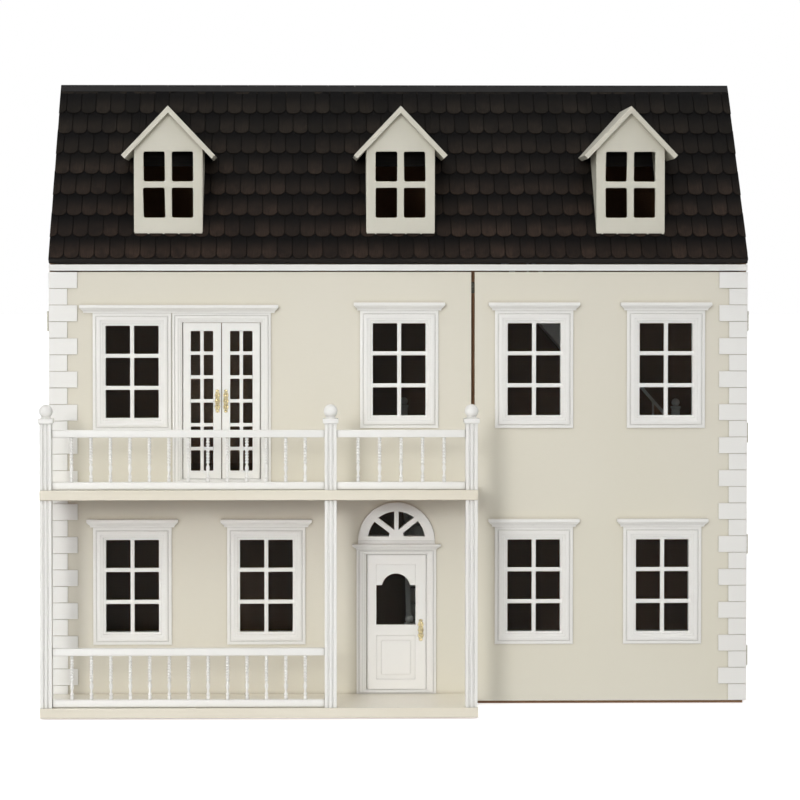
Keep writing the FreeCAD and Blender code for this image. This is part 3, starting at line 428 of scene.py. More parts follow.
def cell_loop(cell, hole, radius, steps):
    """Points on a cell's border, one for each point of the rounded hole in it."""
    cx0, cx1, cz0, cz1 = cell
    x0, x1, z0, z1 = hole
    half = steps // 2
    points = []
    for near, corner, far in (
        ((cx1, z1 - radius), (cx1, cz1), (x1 - radius, cz1)),
        ((x0 + radius, cz1), (cx0, cz1), (cx0, z1 - radius)),
        ((cx0, z0 + radius), (cx0, cz0), (x0 + radius, cz0)),
        ((x1 - radius, cz0), (cx1, cz0), (cx1, z0 + radius)),
    ):
        for k in range(half):
            points.append(tuple(n + (c - n) * k / half for n, c in zip(near, corner)))
        for k in range(half + 1):
            points.append(tuple(c + (f - c) * k / half for c, f in zip(corner, far)))
    return points


def grown(hole, by, radius, steps):
    """The rounded loop that lies outside a rounded hole by a given distance."""
    x0, x1, z0, z1 = hole
    return rounded_loop(x0 - by, x1 + by, z0 - by, z1 + by, radius + by, steps)


def pane_plate(build, x0, x1, z0, z1, columns, rows, bar, rim, y_front, y_back, radius, ease):
    """A plate with a grid of round-cornered panes cut in it, their front edges eased.

    The bars are between the panes, and the rim goes round them all.
    """
    steps = 6
    grid = bmesh.new()
    wide = (x1 - x0 - bar * (columns - 1)) / columns
    high = (z1 - z0 - bar * (rows - 1)) / rows
    for column in range(columns):
        for row in range(rows):
            hx0 = x0 + column * (wide + bar)
            hz0 = z0 + row * (high + bar)
            hole = (hx0, hx0 + wide, hz0, hz0 + high)
            cell = (
                hx0 - (rim if column == 0 else bar / 2),
                hx0 + wide + (rim if column == columns - 1 else bar / 2),
                hz0 - (rim if row == 0 else bar / 2),
                hz0 + high + (rim if row == rows - 1 else bar / 2),
            )
            border = cell_loop(cell, hole, radius, steps)
            loops = []
            for y, points in (
                (y_front, border),
                (y_front, grown(hole, ease, radius, steps)),
                (y_front + ease * 0.35, grown(hole, ease * 0.35, radius, steps)),
                (y_front + ease * 1.1, grown(hole, 0, radius, steps)),
                (y_back, grown(hole, 0, radius, steps)),
                (y_back, border),
            ):
                loops.append([grid.verts.new((x, y, z)) for x, z in points])
            join_loops(grid, loops, closed_path=False)
    bmesh.ops.remove_doubles(grid, verts=grid.verts, dist=0.000002)
    rim_edges = [edge for edge in grid.edges if len(edge.link_faces) == 1]
    bmesh.ops.bridge_loops(grid, edges=rim_edges)
    add_mesh(build, grid)


def add_mesh(build, other):
    """Copy one bmesh into another and free it."""
    mesh = bpy.data.meshes.new("part")
    other.to_mesh(mesh)
    other.free()
    build.from_mesh(mesh)
    bpy.data.meshes.remove(mesh)


def turned_shape(build, centre, axis, profile, sides=16):
    """A turned solid. The profile is (radius, along) points; the axis is 'Z' or '-Y'."""
    rings = []
    for radius, along in profile:
        ring = []
        for k in range(sides):
            angle = 2 * math.pi * k / sides
            a = radius * math.cos(angle)
            b = radius * math.sin(angle)
            offset = Vector((a, b, along)) if axis == "Z" else Vector((a, -along, b))
            ring.append(build.verts.new(centre + offset))
        rings.append(ring)
    join_loops(build, rings, closed_path=False)
    build.faces.new(rings[0])
    build.faces.new(rings[-1])


def plate(build, outlines, y_front, y_back, ease):
    """A flat plate with eased edges.

    The outlines are (x, z) points: the first is the plate's edge and the others are its holes.
    """
    curve = bpy.data.curves.new("outline", "CURVE")
    curve.dimensions = "2D"
    curve.fill_mode = "BOTH"
    curve.extrude = (y_back - y_front) / 2 - ease
    curve.bevel_depth = ease
    curve.bevel_resolution = 2
    curve.offset = -ease
    for points in outlines:
        spline = curve.splines.new("POLY")
        spline.points.add(len(points) - 1)
        for point, (x, z) in zip(spline.points, points):
            point.co = (x, z, 0, 1)
        spline.use_cyclic_u = True
    shape = bpy.data.objects.new("outline", curve)
    bpy.context.scene.collection.objects.link(shape)
    graph = bpy.context.evaluated_depsgraph_get()
    mesh = bpy.data.meshes.new_from_object(shape.evaluated_get(graph))
    middle_y = (y_front + y_back) / 2
    for vert in mesh.vertices:
        x, z, depth = vert.co
        vert.co = (x, middle_y - depth, z)
    build.from_mesh(mesh)
    bpy.data.meshes.remove(mesh)
    bpy.data.objects.remove(shape)
    bpy.data.curves.remove(curve)


def loft(build, first, second):
    """A closed solid between two outlines with the same number of points."""
    loops = [[build.verts.new(point) for point in outline] for outline in (first, second)]
    join_loops(build, loops, closed_path=False)
    build.faces.new(loops[0])
    build.faces.new(loops[1])


def islands(node):
    """The boxes of the separate solids of a CAD node, from left to right."""
    build = bmesh.new()
    build.from_mesh(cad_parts[node].data)
    bmesh.ops.remove_doubles(build, verts=build.verts, dist=0.01 * MM)
    unseen = set(build.verts)
    boxes = []
    while unseen:
        stack = [unseen.pop()]
        members = []
        while stack:
            vert = stack.pop()
            members.append(vert.co.copy())
            for edge in vert.link_edges:
                other = edge.other_vert(vert)
                if other in unseen:
                    unseen.remove(other)
                    stack.append(other)
        low = Vector([min(point[k] for point in members) for k in range(3)])
        high = Vector([max(point[k] for point in members) for k in range(3)])
        boxes.append((low, high))
    build.free()
    return sorted(boxes, key=lambda box: (box[0].x, box[0].z))


# ---------------- shingles
COURSES = 9
FIRST_BUTT = 0.0164         # lower edge of the top course, down the slope from the ridge
GAUGE = 0.0343              # from one course to the next
HEAD_LIMIT = 0.0119         # no shingle starts nearer to the ridge than this
HEAD_LAP = 0.006            # how far a shingle's head goes under the course above
PER_COURSE = 46
SHINGLE_GAP = 0.0009
SHINGLE_THICKNESS = 0.0014
SHINGLE_CORNER = 0.0072     # radius of a shingle's lower corners
RIDGE_CORNER = 0.003        # the same in the top course, which is short
NARROWEST = 0.003           # narrower shingles at the ends of a course are left out
LEAST_PART = 2e-6           # m2; smaller cut-offs beside a dormer are left out

DORMER_CUT_HALF = 0.0424    # the shingles stop this far to each side of a dormer's middle
DORMER_CUT_FOOT = 0.2515    # and this far down the slope, at its face
VALLEY_START = 0.050        # where the two valleys of its roof meet, down the slope
VALLEY_SLOPE = 1.3465       # way down the slope for each step to the side, along a valley


def slope_place(side, x, along, out):
    """A point on the roof: along is the way down from the ridge, out is square to the board."""
    y = along * math.cos(PITCH) + out * math.sin(PITCH)
    z = APEX_Z - along * math.sin(PITCH) + out * math.cos(PITCH)
    return Vector((x, side * y, z))


def shingle_outline(x0, x1, head, butt, left_round, right_round):
    """A strip with its lower corners rounded, going round from the head's left end."""
    points = [(x0, head)]
    for centre_x, radius, start in ((x0 + left_round, left_round, 180), (x1 - right_round, right_round, 90)):
        if radius < 0.0005:
            points.append((x0, butt) if start == 180 else (x1, butt))
            continue
        for k in range(7):
            angle = math.radians(start - 15 * k)
            points.append((centre_x + radius * math.cos(angle), butt - radius + radius * math.sin(angle)))
    points.append((x1, head))
    return points


def clip(points, keep):
    """The part of a convex outline where keep(x, along) is positive."""
    kept = []
    for first, second in zip(points, points[1:] + points[:1]):
        a = keep(*first)
        b = keep(*second)
        if a >= 0:
            kept.append(first)
        if (a > 0 > b) or (a < 0 < b):
            t = a / (a - b)
            kept.append(tuple(p + (q - p) * t for p, q in zip(first, second)))
    return kept


def area(points):
    """Area of a flat outline."""
    return abs(sum(a[0] * b[1] - b[0] * a[1] for a, b in zip(points, points[1:] + points[:1]))) / 2


def outside_dormers(points, middles):
    """Cut an outline round the dormers: their cheeks, their face and the two valleys of their roof."""
    pieces = [points]
    for middle in middles:
        sides = (
            lambda x, s, m=middle: m - DORMER_CUT_HALF - x,
            lambda x, s, m=middle: x - m - DORMER_CUT_HALF,
            lambda x, s, m=middle: s - DORMER_CUT_FOOT,
            lambda x, s, m=middle: VALLEY_START + (x - m) * VALLEY_SLOPE - s,
            lambda x, s, m=middle: VALLEY_START - (x - m) * VALLEY_SLOPE - s,
        )
        left_over = []
        for outline in pieces:
            inside = outline
            for side in sides:
                part = clip(inside, side) if len(inside) > 2 else []
                if len(part) > 2 and area(part) > LEAST_PART:
                    left_over.append(part)
                inside = clip(inside, lambda x, s, f=side: -f(x, s)) if len(inside) > 2 else []
        pieces = left_over
    return pieces


def shingle_roof(name, side, body, node, middles):
    """All courses of a slope, cut round the dormers. side is -1 for the front slope and 1 for the rear."""
    build = bmesh.new()
    tone_layer = build.verts.layers.float.new("tone")
    foot_layer = build.verts.layers.float.new("foot")
    pitch = 2 * ROOF_HALF / PER_COURSE
    for course in range(COURSES):
        butt_line = FIRST_BUTT + GAUGE * course
        head_line = max(HEAD_LIMIT, butt_line - GAUGE - HEAD_LAP)
        shift = 0.5 if course % 2 else 0.0
        count = PER_COURSE + (1 if shift else 0)
        for k in range(count):
            left = -ROOF_HALF + (k - shift) * pitch
            x0 = max(left + SHINGLE_GAP / 2, -ROOF_HALF)
            x1 = min(left + pitch - SHINGLE_GAP / 2, ROOF_HALF)
            if x1 - x0 < NARROWEST:
                continue
            wobble = rng.uniform(-0.0008, -0.0001)
            tone = rng.random()
            lift = rng.uniform(-0.00025, 0.0)
            left_round = 0.0 if left < -ROOF_HALF - MM else SHINGLE_CORNER
            right_round = 0.0 if left + pitch > ROOF_HALF + MM else SHINGLE_CORNER
            if course == 0:
                left_round = right_round = RIDGE_CORNER
            outline = shingle_outline(x0, x1, head_line, butt_line + wobble, left_round, right_round)
            for part in outside_dormers(outline, middles):
                add_shingle(build, side, part, head_line, butt_line, lift, tone, tone_layer, foot_layer)
    piece_from(build, name, "shingle", body, node, 25)


def add_shingle(build, side, outline, head_line, butt_line, lift, tone, tone_layer, foot_layer):
    """A tapered shingle whose butt stands off the board, with its look stored on its points."""
    span = max(butt_line - head_line, 0.001)
    middle_x = sum(x for x, _ in outline) / len(outline)
    middle_s = sum(s for _, s in outline) / len(outline)
    length = min(1.0, span / 0.040)

    def ring(shrink, thickness, drop):
        verts = []
        for x, s in outline:
            px = middle_x + (x - middle_x) * shrink
            ps = middle_s + (s - middle_s) * (1 - (1 - shrink) * 0.5)
            low = 0.0001 + (SHINGLE_THICKNESS + lift) * length * (ps - head_line) / span
            vert = build.verts.new(slope_place(side, px, ps, low + thickness - drop))
            vert[tone_layer] = tone
            vert[foot_layer] = min(1.0, max(0.0, (butt_line - ps) / GAUGE))
            verts.append(vert)
        return verts

    under = ring(1.0, 0.0, 0.0)
    edge = ring(1.0, SHINGLE_THICKNESS, 0.00025)
    top = ring(0.965, SHINGLE_THICKNESS, 0.0)
    join_loops(build, [under, edge, top], closed_path=False)
    build.faces.new(under)
    build.faces.new(top)


DORMERS = ("left_dormer", "middle_dormer", "right_dormer")
dormer_middles = [sum(corner.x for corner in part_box(node)) / 2 for node in DORMERS]
shingle_roof("front_shingle_courses", -1, "front_roof", "front_shingles", dormer_middles)
shingle_roof("rear_shingle_courses", 1, "house", "rear_shingles", [])


# ---------------- windows
MARGIN = 0.016              # from the outside of the casing to the panes
LINING = 0.0022
BAR = 0.005
BAR_FRONT_Y = -0.1762
PANE_CORNER = 0.0012
PANE_EASE = 0.0005
TALL = 0.1                  # casings are taller than this, and cornices lower

# A stepped casing, as (inset, out) in millimetres from its outer edge to the panes.
CASING = [(0.0, 0.0), (0.0, 1.9), (0.25, 2.3), (0.8, 2.5), (3.4, 2.5), (3.7, 2.3), (3.8, 1.7), (4.7, 1.7),
          (4.8, 2.9), (5.2, 3.3), (5.8, 3.5), (9.0, 3.5), (9.5, 3.3), (9.7, 2.7), (10.4, 2.5), (12.4, 2.5),
          (12.8, 2.2), (13.0, 1.6), (13.8, 1.5), (15.4, 1.0), (16.0, 0.4)]
# A cornice, as (out, up) in millimetres from the foot of its back to the top of its back.
SHELF = [(0, 0), (3.4, 0), (3.5, 1.3), (4.0, 2.4), (5.0, 3.5), (6.2, 4.1), (6.4, 5.2), (7.3, 5.6), (7.9, 6.2),
         (8.0, 6.9), (8.0, 9.2), (7.8, 9.8), (7.2, 10.0), (0, 10.0)]


def casing(build, low, high, side, lining, head=1.0, sill=1.0):
    """Stepped casing on the wall's face, and the lining that runs through the wall."""
    share = side / CASING[-1][0]
    profile = [(inset * share, WALL_Y - out * MM) for inset, out in CASING]
    profile += [(side, INNER_Y), (side - lining, INNER_Y), (side - lining, WALL_Y)]
    rectangle_moulding(build, low.x, high.x, low.z, high.z, profile, head, sill)


def shelf(build, low, high):
    """A cornice over the space of its CAD solid."""
    scale = (high.z - low.z) / SHELF[-1][1]
    profile = [(out * MM, up * scale) for out, up in SHELF]
    shelf_moulding(build, (low.x + high.x) / 2, high.x - low.x, low.z, WALL_Y, profile)


def front_joinery(build, name, node, body="left_front", smooth_angle=32):
    """A white piece on one of the fronts, in place of its CAD node."""
    piece_from(build, name, "white", body, node, smooth_angle)


def window(build, low, high):
    """A casing with two by three panes in it."""
    casing(build, low, high, MARGIN, LINING)
    pane_plate(build, low.x + MARGIN, high.x - MARGIN, low.z + MARGIN, high.z - MARGIN, 2, 3, BAR, MM,
               BAR_FRONT_Y, BAR_BACK_Y, PANE_CORNER, PANE_EASE)


for node in ("left_upper_windows", "left_lower_windows", "right_upper_windows", "right_lower_windows"):
    build = bmesh.new()
    for low, high in islands(node):
        if high.z - low.z > TALL:
            window(build, low, high)
        else:
            shelf(build, low, high)
    body = "left_front" if node.startswith("left") else "right_front"
    front_joinery(build, node.replace("windows", "window_joinery"), node, body)


# ---------------- door surrounds
def arc(centre_x, centre_z, radius, start, end, steps):
    """Points along an arc; angles are from straight up, clockwise seen from the front."""
    points = []
    for k in range(steps + 1):
        angle = math.radians(start + (end - start) * k / steps)
        points.append((centre_x + radius * math.sin(angle), centre_z + radius * math.cos(angle)))
    return points


def fan_lights(middle, arc_base, radius, sill, base, bars, hubs):
    """The openings of a fanlight, inside its arc, above its sill, between its bars and outside its hub.

    The bars, as (angle, half width), meet at base. The hubs say how far from there each light begins.
    """
    def beside(angle, x, z):
        """How far a point is to the right of a bar's middle line."""
        return (x - middle) * math.cos(angle) - (z - base) * math.sin(angle)

    edges = [(-96, 0)] + list(bars) + [(96, 0)]
    lights = []
    for (first, first_half), (second, second_half), hub in zip(edges, edges[1:], hubs):
        outline = arc(middle, arc_base, radius, -90, 90, 72)
        a, b = math.radians(first), math.radians(second)
        c = (a + b) / 2
        if first > -90:
            outline = clip(outline, lambda x, z: beside(a, x, z) - first_half)
        if second < 90:
            outline = clip(outline, lambda x, z: -beside(b, x, z) - second_half)
        outline = clip(outline, lambda x, z: z - sill)
        outline = clip(outline, lambda x, z: (x - middle) * math.sin(c) + (z - base) * math.cos(c) - hub)
        lights.append(outline)
    return lights


FRENCH_CASING = {"upright": 0.0124, "head": 0.0121, "sill": 0.0051}
DOOR_CASING = {"upright": 0.0125, "head": 0.0066, "sill": 0.0051}
DOOR_LINING = 0.004
DOOR_CASING_HALF = 0.0499
DOOR_CASING_HEIGHT = 0.181
DOOR_SHELF_HEIGHT = 0.0065

FAN_BASE_ABOVE = 0.011      # centre of the fanlight's arc, above the door's casing
FAN_OPENING = 0.0355        # radius of its glazed part
FAN_OPENING_ABOVE = 0.001   # that part's centre, above the arc's
FAN_SILL_ABOVE = 0.0055
FAN_BARS_ABOVE = 0.0072     # where the bars meet
FAN_BARS = ((-53, 0.0034), (0, 0.0028), (51, 0.0034))       # angle and half width of each
FAN_HUBS = (0.0088, 0.0076, 0.0076, 0.0088)
BAND_Z = (-0.0045, 0.0003)  # the plain band under the fanlight, from the arc's centre


def door_casing(build, low, high, sides):
    casing(build, low, high, sides["upright"], DOOR_LINING,
           sides["head"] / sides["upright"], sides["sill"] / sides["upright"])


def french_door_surround():
    """The casing round both leaves, and the long cornice over it and the window beside it."""
    build = bmesh.new()
    solids = islands("french_door_surround")
    tall = [box for box in solids if box[1].z - box[0].z > TALL]
    door_casing(build, *max(tall, key=lambda box: (box[1] - box[0]).length), FRENCH_CASING)
    shelf(build, *min(solids, key=lambda box: box[1].z - box[0].z))
    front_joinery(build, "french_door_joinery", "french_door_surround")


def fanlight(build, middle, base, top):
    """The half-round light over the front door, the band under it and the lining behind its rim."""
    radius = top - base
    centre = base + FAN_OPENING_ABOVE
    lights = fan_lights(middle, centre, FAN_OPENING, base + FAN_SILL_ABOVE, base + FAN_BARS_ABOVE,
                        FAN_BARS, FAN_HUBS)
    plate(build, [arc(middle, base, radius, -90, 90, 48)] + lights, WALL_Y - 0.0040, BAR_BACK_Y, 0.0009)
    x0, x1 = middle - radius, middle + radius
    z0, z1 = (base + z for z in BAND_Z)
    band = [(x0, z0), (x1, z0), (x1, z1), (x0, z1)]
    plate(build, [band], WALL_Y - 0.0030, BAR_BACK_Y, 0.0006)
    liner = arc(middle, centre, FAN_OPENING + 0.0019, -90, 90, 40)
    liner_inside = arc(middle, centre + 0.0040, FAN_OPENING - 0.0002, -88, 88, 40)
    plate(build, [liner, liner_inside], BAR_BACK_Y, INNER_Y, 0.0001)


def front_door_surround():
    """The front door's casing, its cornice and the fanlight over them."""
    build = bmesh.new()
    low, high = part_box("front_door_surround")
    middle = (low.x + high.x) / 2
    head = low.z + DOOR_CASING_HEIGHT
    door_casing(build, Vector((middle - DOOR_CASING_HALF, 0, low.z)),
                Vector((middle + DOOR_CASING_HALF, 0, head)), DOOR_CASING)
    shelf(build, Vector((low.x, 0, head)), Vector((high.x, 0, head + DOOR_SHELF_HEIGHT)))
    fanlight(build, middle, head + FAN_BASE_ABOVE, high.z)
    front_joinery(build, "front_door_joinery", "front_door_surround")


french_door_surround()
front_door_surround()


# ---------------- railings
WIDEST_BALUSTER = 0.03      # solids longer than this are rails


def baluster_profile(low, high):
    """Square-shouldered ends, a small vase low down, and a string of beads up to the top."""
    height = high - low
    points = [(0.0019, 0.0), (0.0021, 0.0005), (0.0021, 0.0040), (0.0013, 0.0050)]
    shaped = [(0.105, 0.0022), (0.14, 0.0021), (0.165, 0.0013), (0.20, 0.0012), (0.245, 0.0018),
              (0.295, 0.0023), (0.345, 0.0021), (0.385, 0.0014), (0.40, 0.0012)]
    points += [(radius, part * height) for part, radius in shaped]
    first_bead = 0.41
    pitch = 0.0655
    for bead in range(8):
        centre = first_bead + pitch * (bead + 0.5)
        points += [(0.0013 + 0.0010 * math.sin(math.pi * t), (centre + pitch * (t - 0.5)) * height)
                   for t in (0.02, 0.2, 0.4, 0.6, 0.8)]
    points += [(0.0013, height - 0.0032), (0.0021, height - 0.0026),
               (0.0021, height - 0.0005), (0.0019, height)]
    return [(radius, low + along) for radius, along in points]


def rail_bar(build, x0, x1, z0, z1, y0, y1):
    """A rail with eased edges and slightly rounded ends."""
    ease = 0.0011
    outline = rounded_loop(y0, y1, z0, z1, ease, 4)
    middle_y = (y0 + y1) / 2
    middle_z = (z0 + z1) / 2
    loops = []
    ends = ((0.0, 0.80), (0.0004, 0.95), (0.0012, 1.0))
    stations = [(x0 + inset, shrink) for inset, shrink in ends]
    stations += [(x1 - inset, shrink) for inset, shrink in reversed(ends)]
    for x, shrink in stations:
        section = [(y - middle_y, z - middle_z) for y, z in outline]
        loops.append([build.verts.new((x, middle_y + y * shrink, middle_z + z * shrink)) for y, z in section])
    join_loops(build, loops, closed_path=False)
    build.faces.new(loops[0])
    build.faces.new(loops[-1])


def railing(node, name):
    """Rails and turned balusters in the places of a CAD railing's solids."""
    build = bmesh.new()
    for low, high in islands(node):
        if high.x - low.x > WIDEST_BALUSTER:
            rail_bar(build, low.x, high.x, low.z, high.z, low.y, high.y)
        else:
            centre = Vector(((low.x + high.x) / 2, (low.y + high.y) / 2, 0))
            turned_shape(build, centre, "Z", baluster_profile(low.z, high.z))
    front_joinery(build, name, node, smooth_angle=50)


railing("porch_railing", "porch_balustrade")
railing("balcony_railing", "balcony_balustrade")


# ---------------- dormers
DORMER_HALF = 0.043         # half width of a dormer's face
DORMER_BOARD = 0.006
DORMER_EAVE = 0.0585        # how far to the side its roof boards reach
DORMER_OVERHANG = 0.009     # how far they stand forward of the face
FACE_CORNER = 0.003
DORMER_PANES = {"half": 0.0315, "low": 0.0225, "high": 0.1052, "bar": 0.0079, "corner": 0.0021}


def main_roof_y(z):
    """Where the front slope is at a height, 1 mm behind its surface."""
    return -(APEX_Z - z) / PITCH_TAN + MM


def wavering_pane(x0, x1, z0, z1, radius):
    """A pane opening cut by hand: round corners, sides not quite straight."""
    points = rounded_loop(x0, x1, z0, z1, radius, 5)
    lean = rng.uniform(-0.0006, 0.0006)
    bow = rng.uniform(0.0002, 0.0006)
    middle_z = (z0 + z1) / 2
    half = (z1 - z0) / 2
    middle_x = (x0 + x1) / 2
    wavy = []
    for x, z in points:
        t = (z - middle_z) / half
        side = 1 if x > middle_x else -1
        wavy.append((x + lean * t - side * bow * t * t, z + rng.uniform(-0.0001, 0.0001)))
    return wavy


def dormer_face(build, middle, foot, front, eave, peak):
    """The face board: its lower corners are round, and it has two by two panes cut by hand."""
    outline = []
    inset = DORMER_HALF - FACE_CORNER
    for centre_x, start in ((middle - inset, 270), (middle + inset, 180)):
        outline += arc(centre_x, foot + FACE_CORNER, FACE_CORNER, start, start - 90, 5)
    outline += [(middle + DORMER_HALF, eave), (middle, peak), (middle - DORMER_HALF, eave)]
    half, bar = DORMER_PANES["half"], DORMER_PANES["bar"]
    low = foot + DORMER_PANES["low"]
    wide = half - bar / 2
    tall = (foot + DORMER_PANES["high"] - low - bar) / 2
    panes = []
    for x0 in (middle - half, middle + bar / 2):
        for z0 in (low, low + tall + bar):
            panes.append(wavering_pane(x0, x0 + wide, z0, z0 + tall, DORMER_PANES["corner"]))
    plate(build, [outline] + panes, front, front + DORMER_BOARD, 0.0006)


def dormer(node):
    """A dormer: its face, and on each side a roof board and a cheek that run back into the main roof."""
    low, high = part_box(node)
    middle = (low.x + high.x) / 2
    slope = math.tan(DORMER_PITCH)
    sine, cosine = math.sin(DORMER_PITCH), math.cos(DORMER_PITCH)
    under = DORMER_BOARD / cosine
    front = low.y + DORMER_OVERHANG
    cheek_front = front + DORMER_BOARD - 0.0005
    slope_foot = APEX_Z + (front + DORMER_BOARD - MM) * PITCH_TAN

    def outer_z(offset):
        return high.z - abs(offset) * slope

    build = bmesh.new()
    dormer_face(build, middle, low.z, front, outer_z(DORMER_HALF) - under + 0.0004, high.z - under + 0.0004)
    tip = outer_z(DORMER_EAVE)
    for side in (-1, 1):
        section = [(0, outer_z(0)), (side * DORMER_EAVE, tip),
                   (side * (DORMER_EAVE - DORMER_BOARD * sine), tip - DORMER_BOARD * cosine),
                   (0, outer_z(0) - under)]
        near = [Vector((middle + x, low.y, z)) for x, z in section]
        far = [Vector((middle + x, main_roof_y(z), z)) for x, z in section]
        loft(build, near, far)
        faces = []
        for offset in (DORMER_HALF - DORMER_BOARD, DORMER_HALF - 0.0002):
            x = middle + side * offset
            top = outer_z(offset) - under + 0.0006
            faces.append([Vector((x, cheek_front, slope_foot - 0.002)), Vector((x, cheek_front, top)),
                          Vector((x, main_roof_y(top), top))])
        loft(build, *faces)
    piece_from(build, node + "_house", "cream", "front_roof", node, 30)


for node in DORMERS:
    dormer(node)


# ---------------- door furniture
HANDLE_PLATE = 0.0016
KNOB = [(0.45, 0.2), (0.42, 0.45), (0.34, 0.55), (0.40, 0.66), (0.62, 0.74), (0.72, 0.83), (0.66, 0.92),
        (0.42, 0.98), (0.1, 1.0)]      # (radius, reach) as shares of the knob's size


def rim_of(grid):
    """The outer points of a grid of points, in order round it."""
    right = [line[-1] for line in grid[1:]]
    left = [line[0] for line in grid[-2:0:-1]]
    return grid[0] + right + grid[-1][-2::-1] + left


def relief_plate(build, middle, half_x, half_z, face_y, thickness):
    """A lobed back plate with a rippled dome, its flat back against the door."""
    rows = 60
    columns = 12
    front = []
    back = []
    for row in range(rows + 1):
        t = -1 + 2 * row / rows
        lobes = 0.74 + 0.16 * math.cos(t * 4 * math.pi) + 0.12 * math.cos(t * 9 * math.pi)
        taper = math.sqrt(max(0.0, 1 - abs(t) ** 5))
        half = half_x * max(0.06, min(0.98, lobes * taper + 0.06))
        line = []
        for column in range(columns + 1):
            u = -1 + 2 * column / columns
            dome = math.sqrt(max(0.0, 1 - abs(u) ** 3))
            ripple = 0.5 + 0.5 * math.cos(u * 2.4 * math.pi) * math.cos(t * 8 * math.pi)
            rise = thickness * (0.25 + 0.75 * dome * ripple * taper)
            line.append(build.verts.new((middle.x + u * half, face_y - rise, middle.z + t * half_z)))
        front.append(line)
        back.append([build.verts.new((vert.co.x, face_y, vert.co.z)) for vert in line])
    for grid, flip in ((front, False), (back, True)):
        for a, b in zip(grid, grid[1:]):
            for k in range(columns):
                quad = (a[k], a[k + 1], b[k + 1], b[k])
                build.faces.new(quad[::-1] if flip else quad)
    rim = rim_of(front)
    rim_back = rim_of(back)
    for k in range(len(rim)):
        j = (k + 1) % len(rim)
        build.faces.new((rim[k], rim[j], rim_back[j], rim_back[k]))


def cast_handle(node, body):
    """A scrolled back plate in relief with a small knob."""
    low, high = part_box(node)
    middle = (low + high) / 2
    half_x = (high.x - low.x) / 2
    half_z = (high.z - low.z) / 2
    reach = high.y - low.y
    build = bmesh.new()
    relief_plate(build, middle, half_x, half_z, high.y, HANDLE_PLATE)
    knob = [(radius * half_x * 0.62, along * reach) for radius, along in KNOB]
    turned_shape(build, Vector((middle.x, high.y, middle.z - half_z * 0.12)), "-Y", knob, 20)
    piece_from(build, node + "_casting", "brass", body, node, 60)


cast_handle("front_door_handle", "front_door_leaf")
cast_handle("french_handle_left", "french_leaf_left")
cast_handle("french_handle_right", "french_leaf_right")


# ---------------- eased edges of the CAD nodes
EASED_EDGES = {
    0.0003: ["hall_staircase", "attic_staircase", "french_door_left", "french_door_right"],
    0.0004: ["left_front_panel", "right_front_panel", "back_wall", "left_side_wall", "right_side_wall",
             "front_door"],
    0.0005: ["left_quoins", "right_quoins", "balcony_newels", "eaves_strip", "base_board"],
    0.0006: ["porch_columns", "front_roof_panel", "rear_roof_panel"],
    0.0007: ["porch_floor", "balcony_deck"],
}
for width, nodes in EASED_EDGES.items():
    for node in nodes:
        soften(node, width)


# ---------------- floor, light and camera
SKY_LIGHT = 0.70            # strength of the surroundings as a light, above the horizon
LOW_LIGHT = 0.44            # and below it
FLOOR_GLOW = 0.6
KEY_POWER = 25
FILL_POWER = 4
PORCH_POWER = 2.9
FLOOR_HALF = 30
FLOOR_Z = -0.0002


def flat_floor():
    """Pale paper that glows a little and throws no soft light back at the house."""
    build = bmesh.new()
    for x, y in ((-1, -1), (1, -1), (1, 1), (-1, 1)):
        build.verts.new((x * FLOOR_HALF, y * FLOOR_HALF, FLOOR_Z))
    build.faces.new(build.verts[:])
    mesh = bpy.data.meshes.new("studio_floor")
    build.to_mesh(mesh)
    build.free()
    finish = Finish("studio_floor_paper", 0.9, specular=0.1)
    finish.colour(finish.mix(finish.noise(3.0), srgb(250, 250, 250), srgb(254, 254, 254)))
    finish.shader.inputs["Emission Color"].default_value = (1, 1, 1, 1)
    finish.shader.inputs["Emission Strength"].default_value = FLOOR_GLOW
    mesh.materials.append(finish.material)
    floor = bpy.data.objects.new("studio_floor", mesh)
    bpy.context.scene.collection.objects.link(floor)
    floor.visible_diffuse = False


def area_light(name, place, target, size, power, spread=180):
    """A round lamp at a place, turned to its target. spread is its beam's angle in degrees."""
    data = bpy.data.lights.new(name, "AREA")
    data.shape = "DISK"
    data.size = size
    data.energy = power
    data.spread = math.radians(spread)
    light = bpy.data.objects.new(name, data)
    light.location = place
    light.rotation_mode = "QUATERNION"
    light.rotation_quaternion = (Vector(target) - Vector(place)).to_track_quat("-Z", "Y")
    bpy.context.scene.collection.objects.link(light)


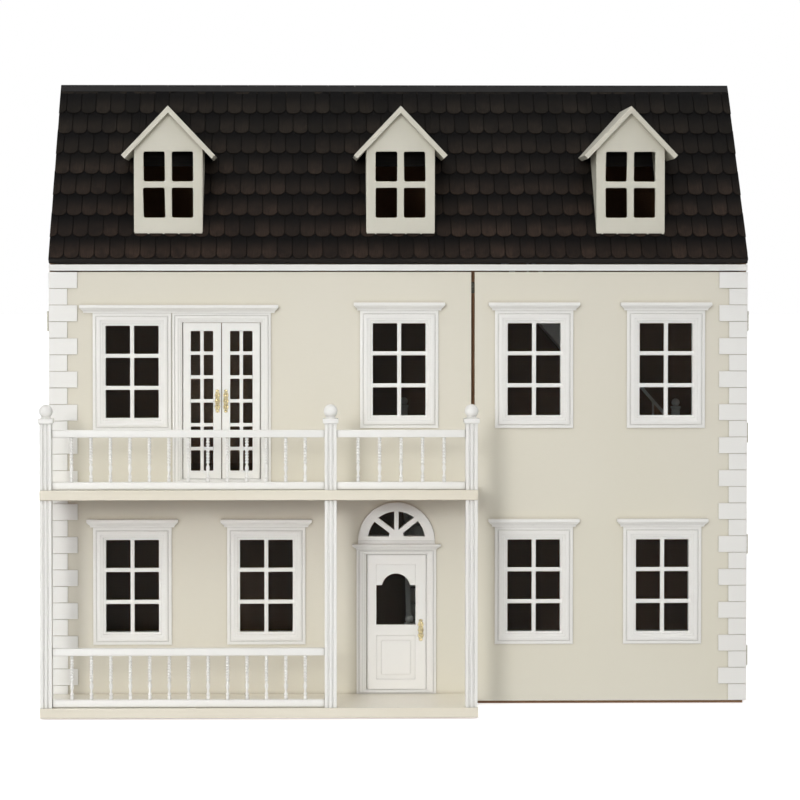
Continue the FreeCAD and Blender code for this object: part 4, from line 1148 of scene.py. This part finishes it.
def studio_world():
    """White surroundings: bright to look at, softer as a light, and softest from below."""
    world = bpy.data.worlds.new("studio")
    world.use_nodes = True
    tree = world.node_tree
    background = tree.nodes["Background"]
    background.inputs["Color"].default_value = (1, 1, 1, 1)
    rays = tree.nodes.new("ShaderNodeLightPath")
    coords = tree.nodes.new("ShaderNodeTexCoord")
    height = tree.nodes.new("ShaderNodeSeparateXYZ")
    tree.links.new(coords.outputs["Generated"], height.inputs["Vector"])
    sky = tree.nodes.new("ShaderNodeMapRange")
    horizon = (("From Min", -0.25), ("From Max", 0.25), ("To Min", LOW_LIGHT), ("To Max", SKY_LIGHT))
    for name, number in horizon:
        sky.inputs[name].default_value = number
    tree.links.new(height.outputs["Z"], sky.inputs["Value"])
    strength = tree.nodes.new("ShaderNodeMapRange")
    strength.inputs["To Max"].default_value = 1.0
    tree.links.new(sky.outputs["Result"], strength.inputs["To Min"])
    tree.links.new(rays.outputs["Is Camera Ray"], strength.inputs["Value"])
    tree.links.new(strength.outputs["Result"], background.inputs["Strength"])
    bpy.context.scene.world = world


flat_floor()
studio_world()
area_light("key", (-1.9, -3.9, 2.7), (0, -0.1, 0.3), 2.2, KEY_POWER)
area_light("fill", (2.4, -4.2, 0.9), (0, 0, 0.3), 1.6, FILL_POWER)
area_light("porch_fill", (-1.4, -4.3, 1.15), (-0.12, -0.2, 0.04), 1.0, PORCH_POWER, 36)

CAMERA_PLACE = (-0.1036, -3.6032, 0.5430)
CAMERA_TURN = 0.922         # degrees to the right of straight ahead
CAMERA_TILT = 1.443         # degrees down


def front_camera():
    data = bpy.data.cameras.new("camera")
    data.lens = 123.69
    data.sensor_width = 36
    data.shift_x = 0.05
    data.shift_y = -0.075
    data.clip_start = 0.05
    data.clip_end = 60
    camera = bpy.data.objects.new("camera", data)
    bpy.context.scene.collection.objects.link(camera)
    camera.location = CAMERA_PLACE
    aim = Vector((math.tan(math.radians(CAMERA_TURN)), 1.0, -math.tan(math.radians(CAMERA_TILT))))
    camera.rotation_mode = "QUATERNION"
    camera.rotation_quaternion = aim.to_track_quat("-Z", "Y")
    bpy.context.scene.camera = camera


front_camera()
bpy.context.scene.view_settings.view_transform = "Standard"
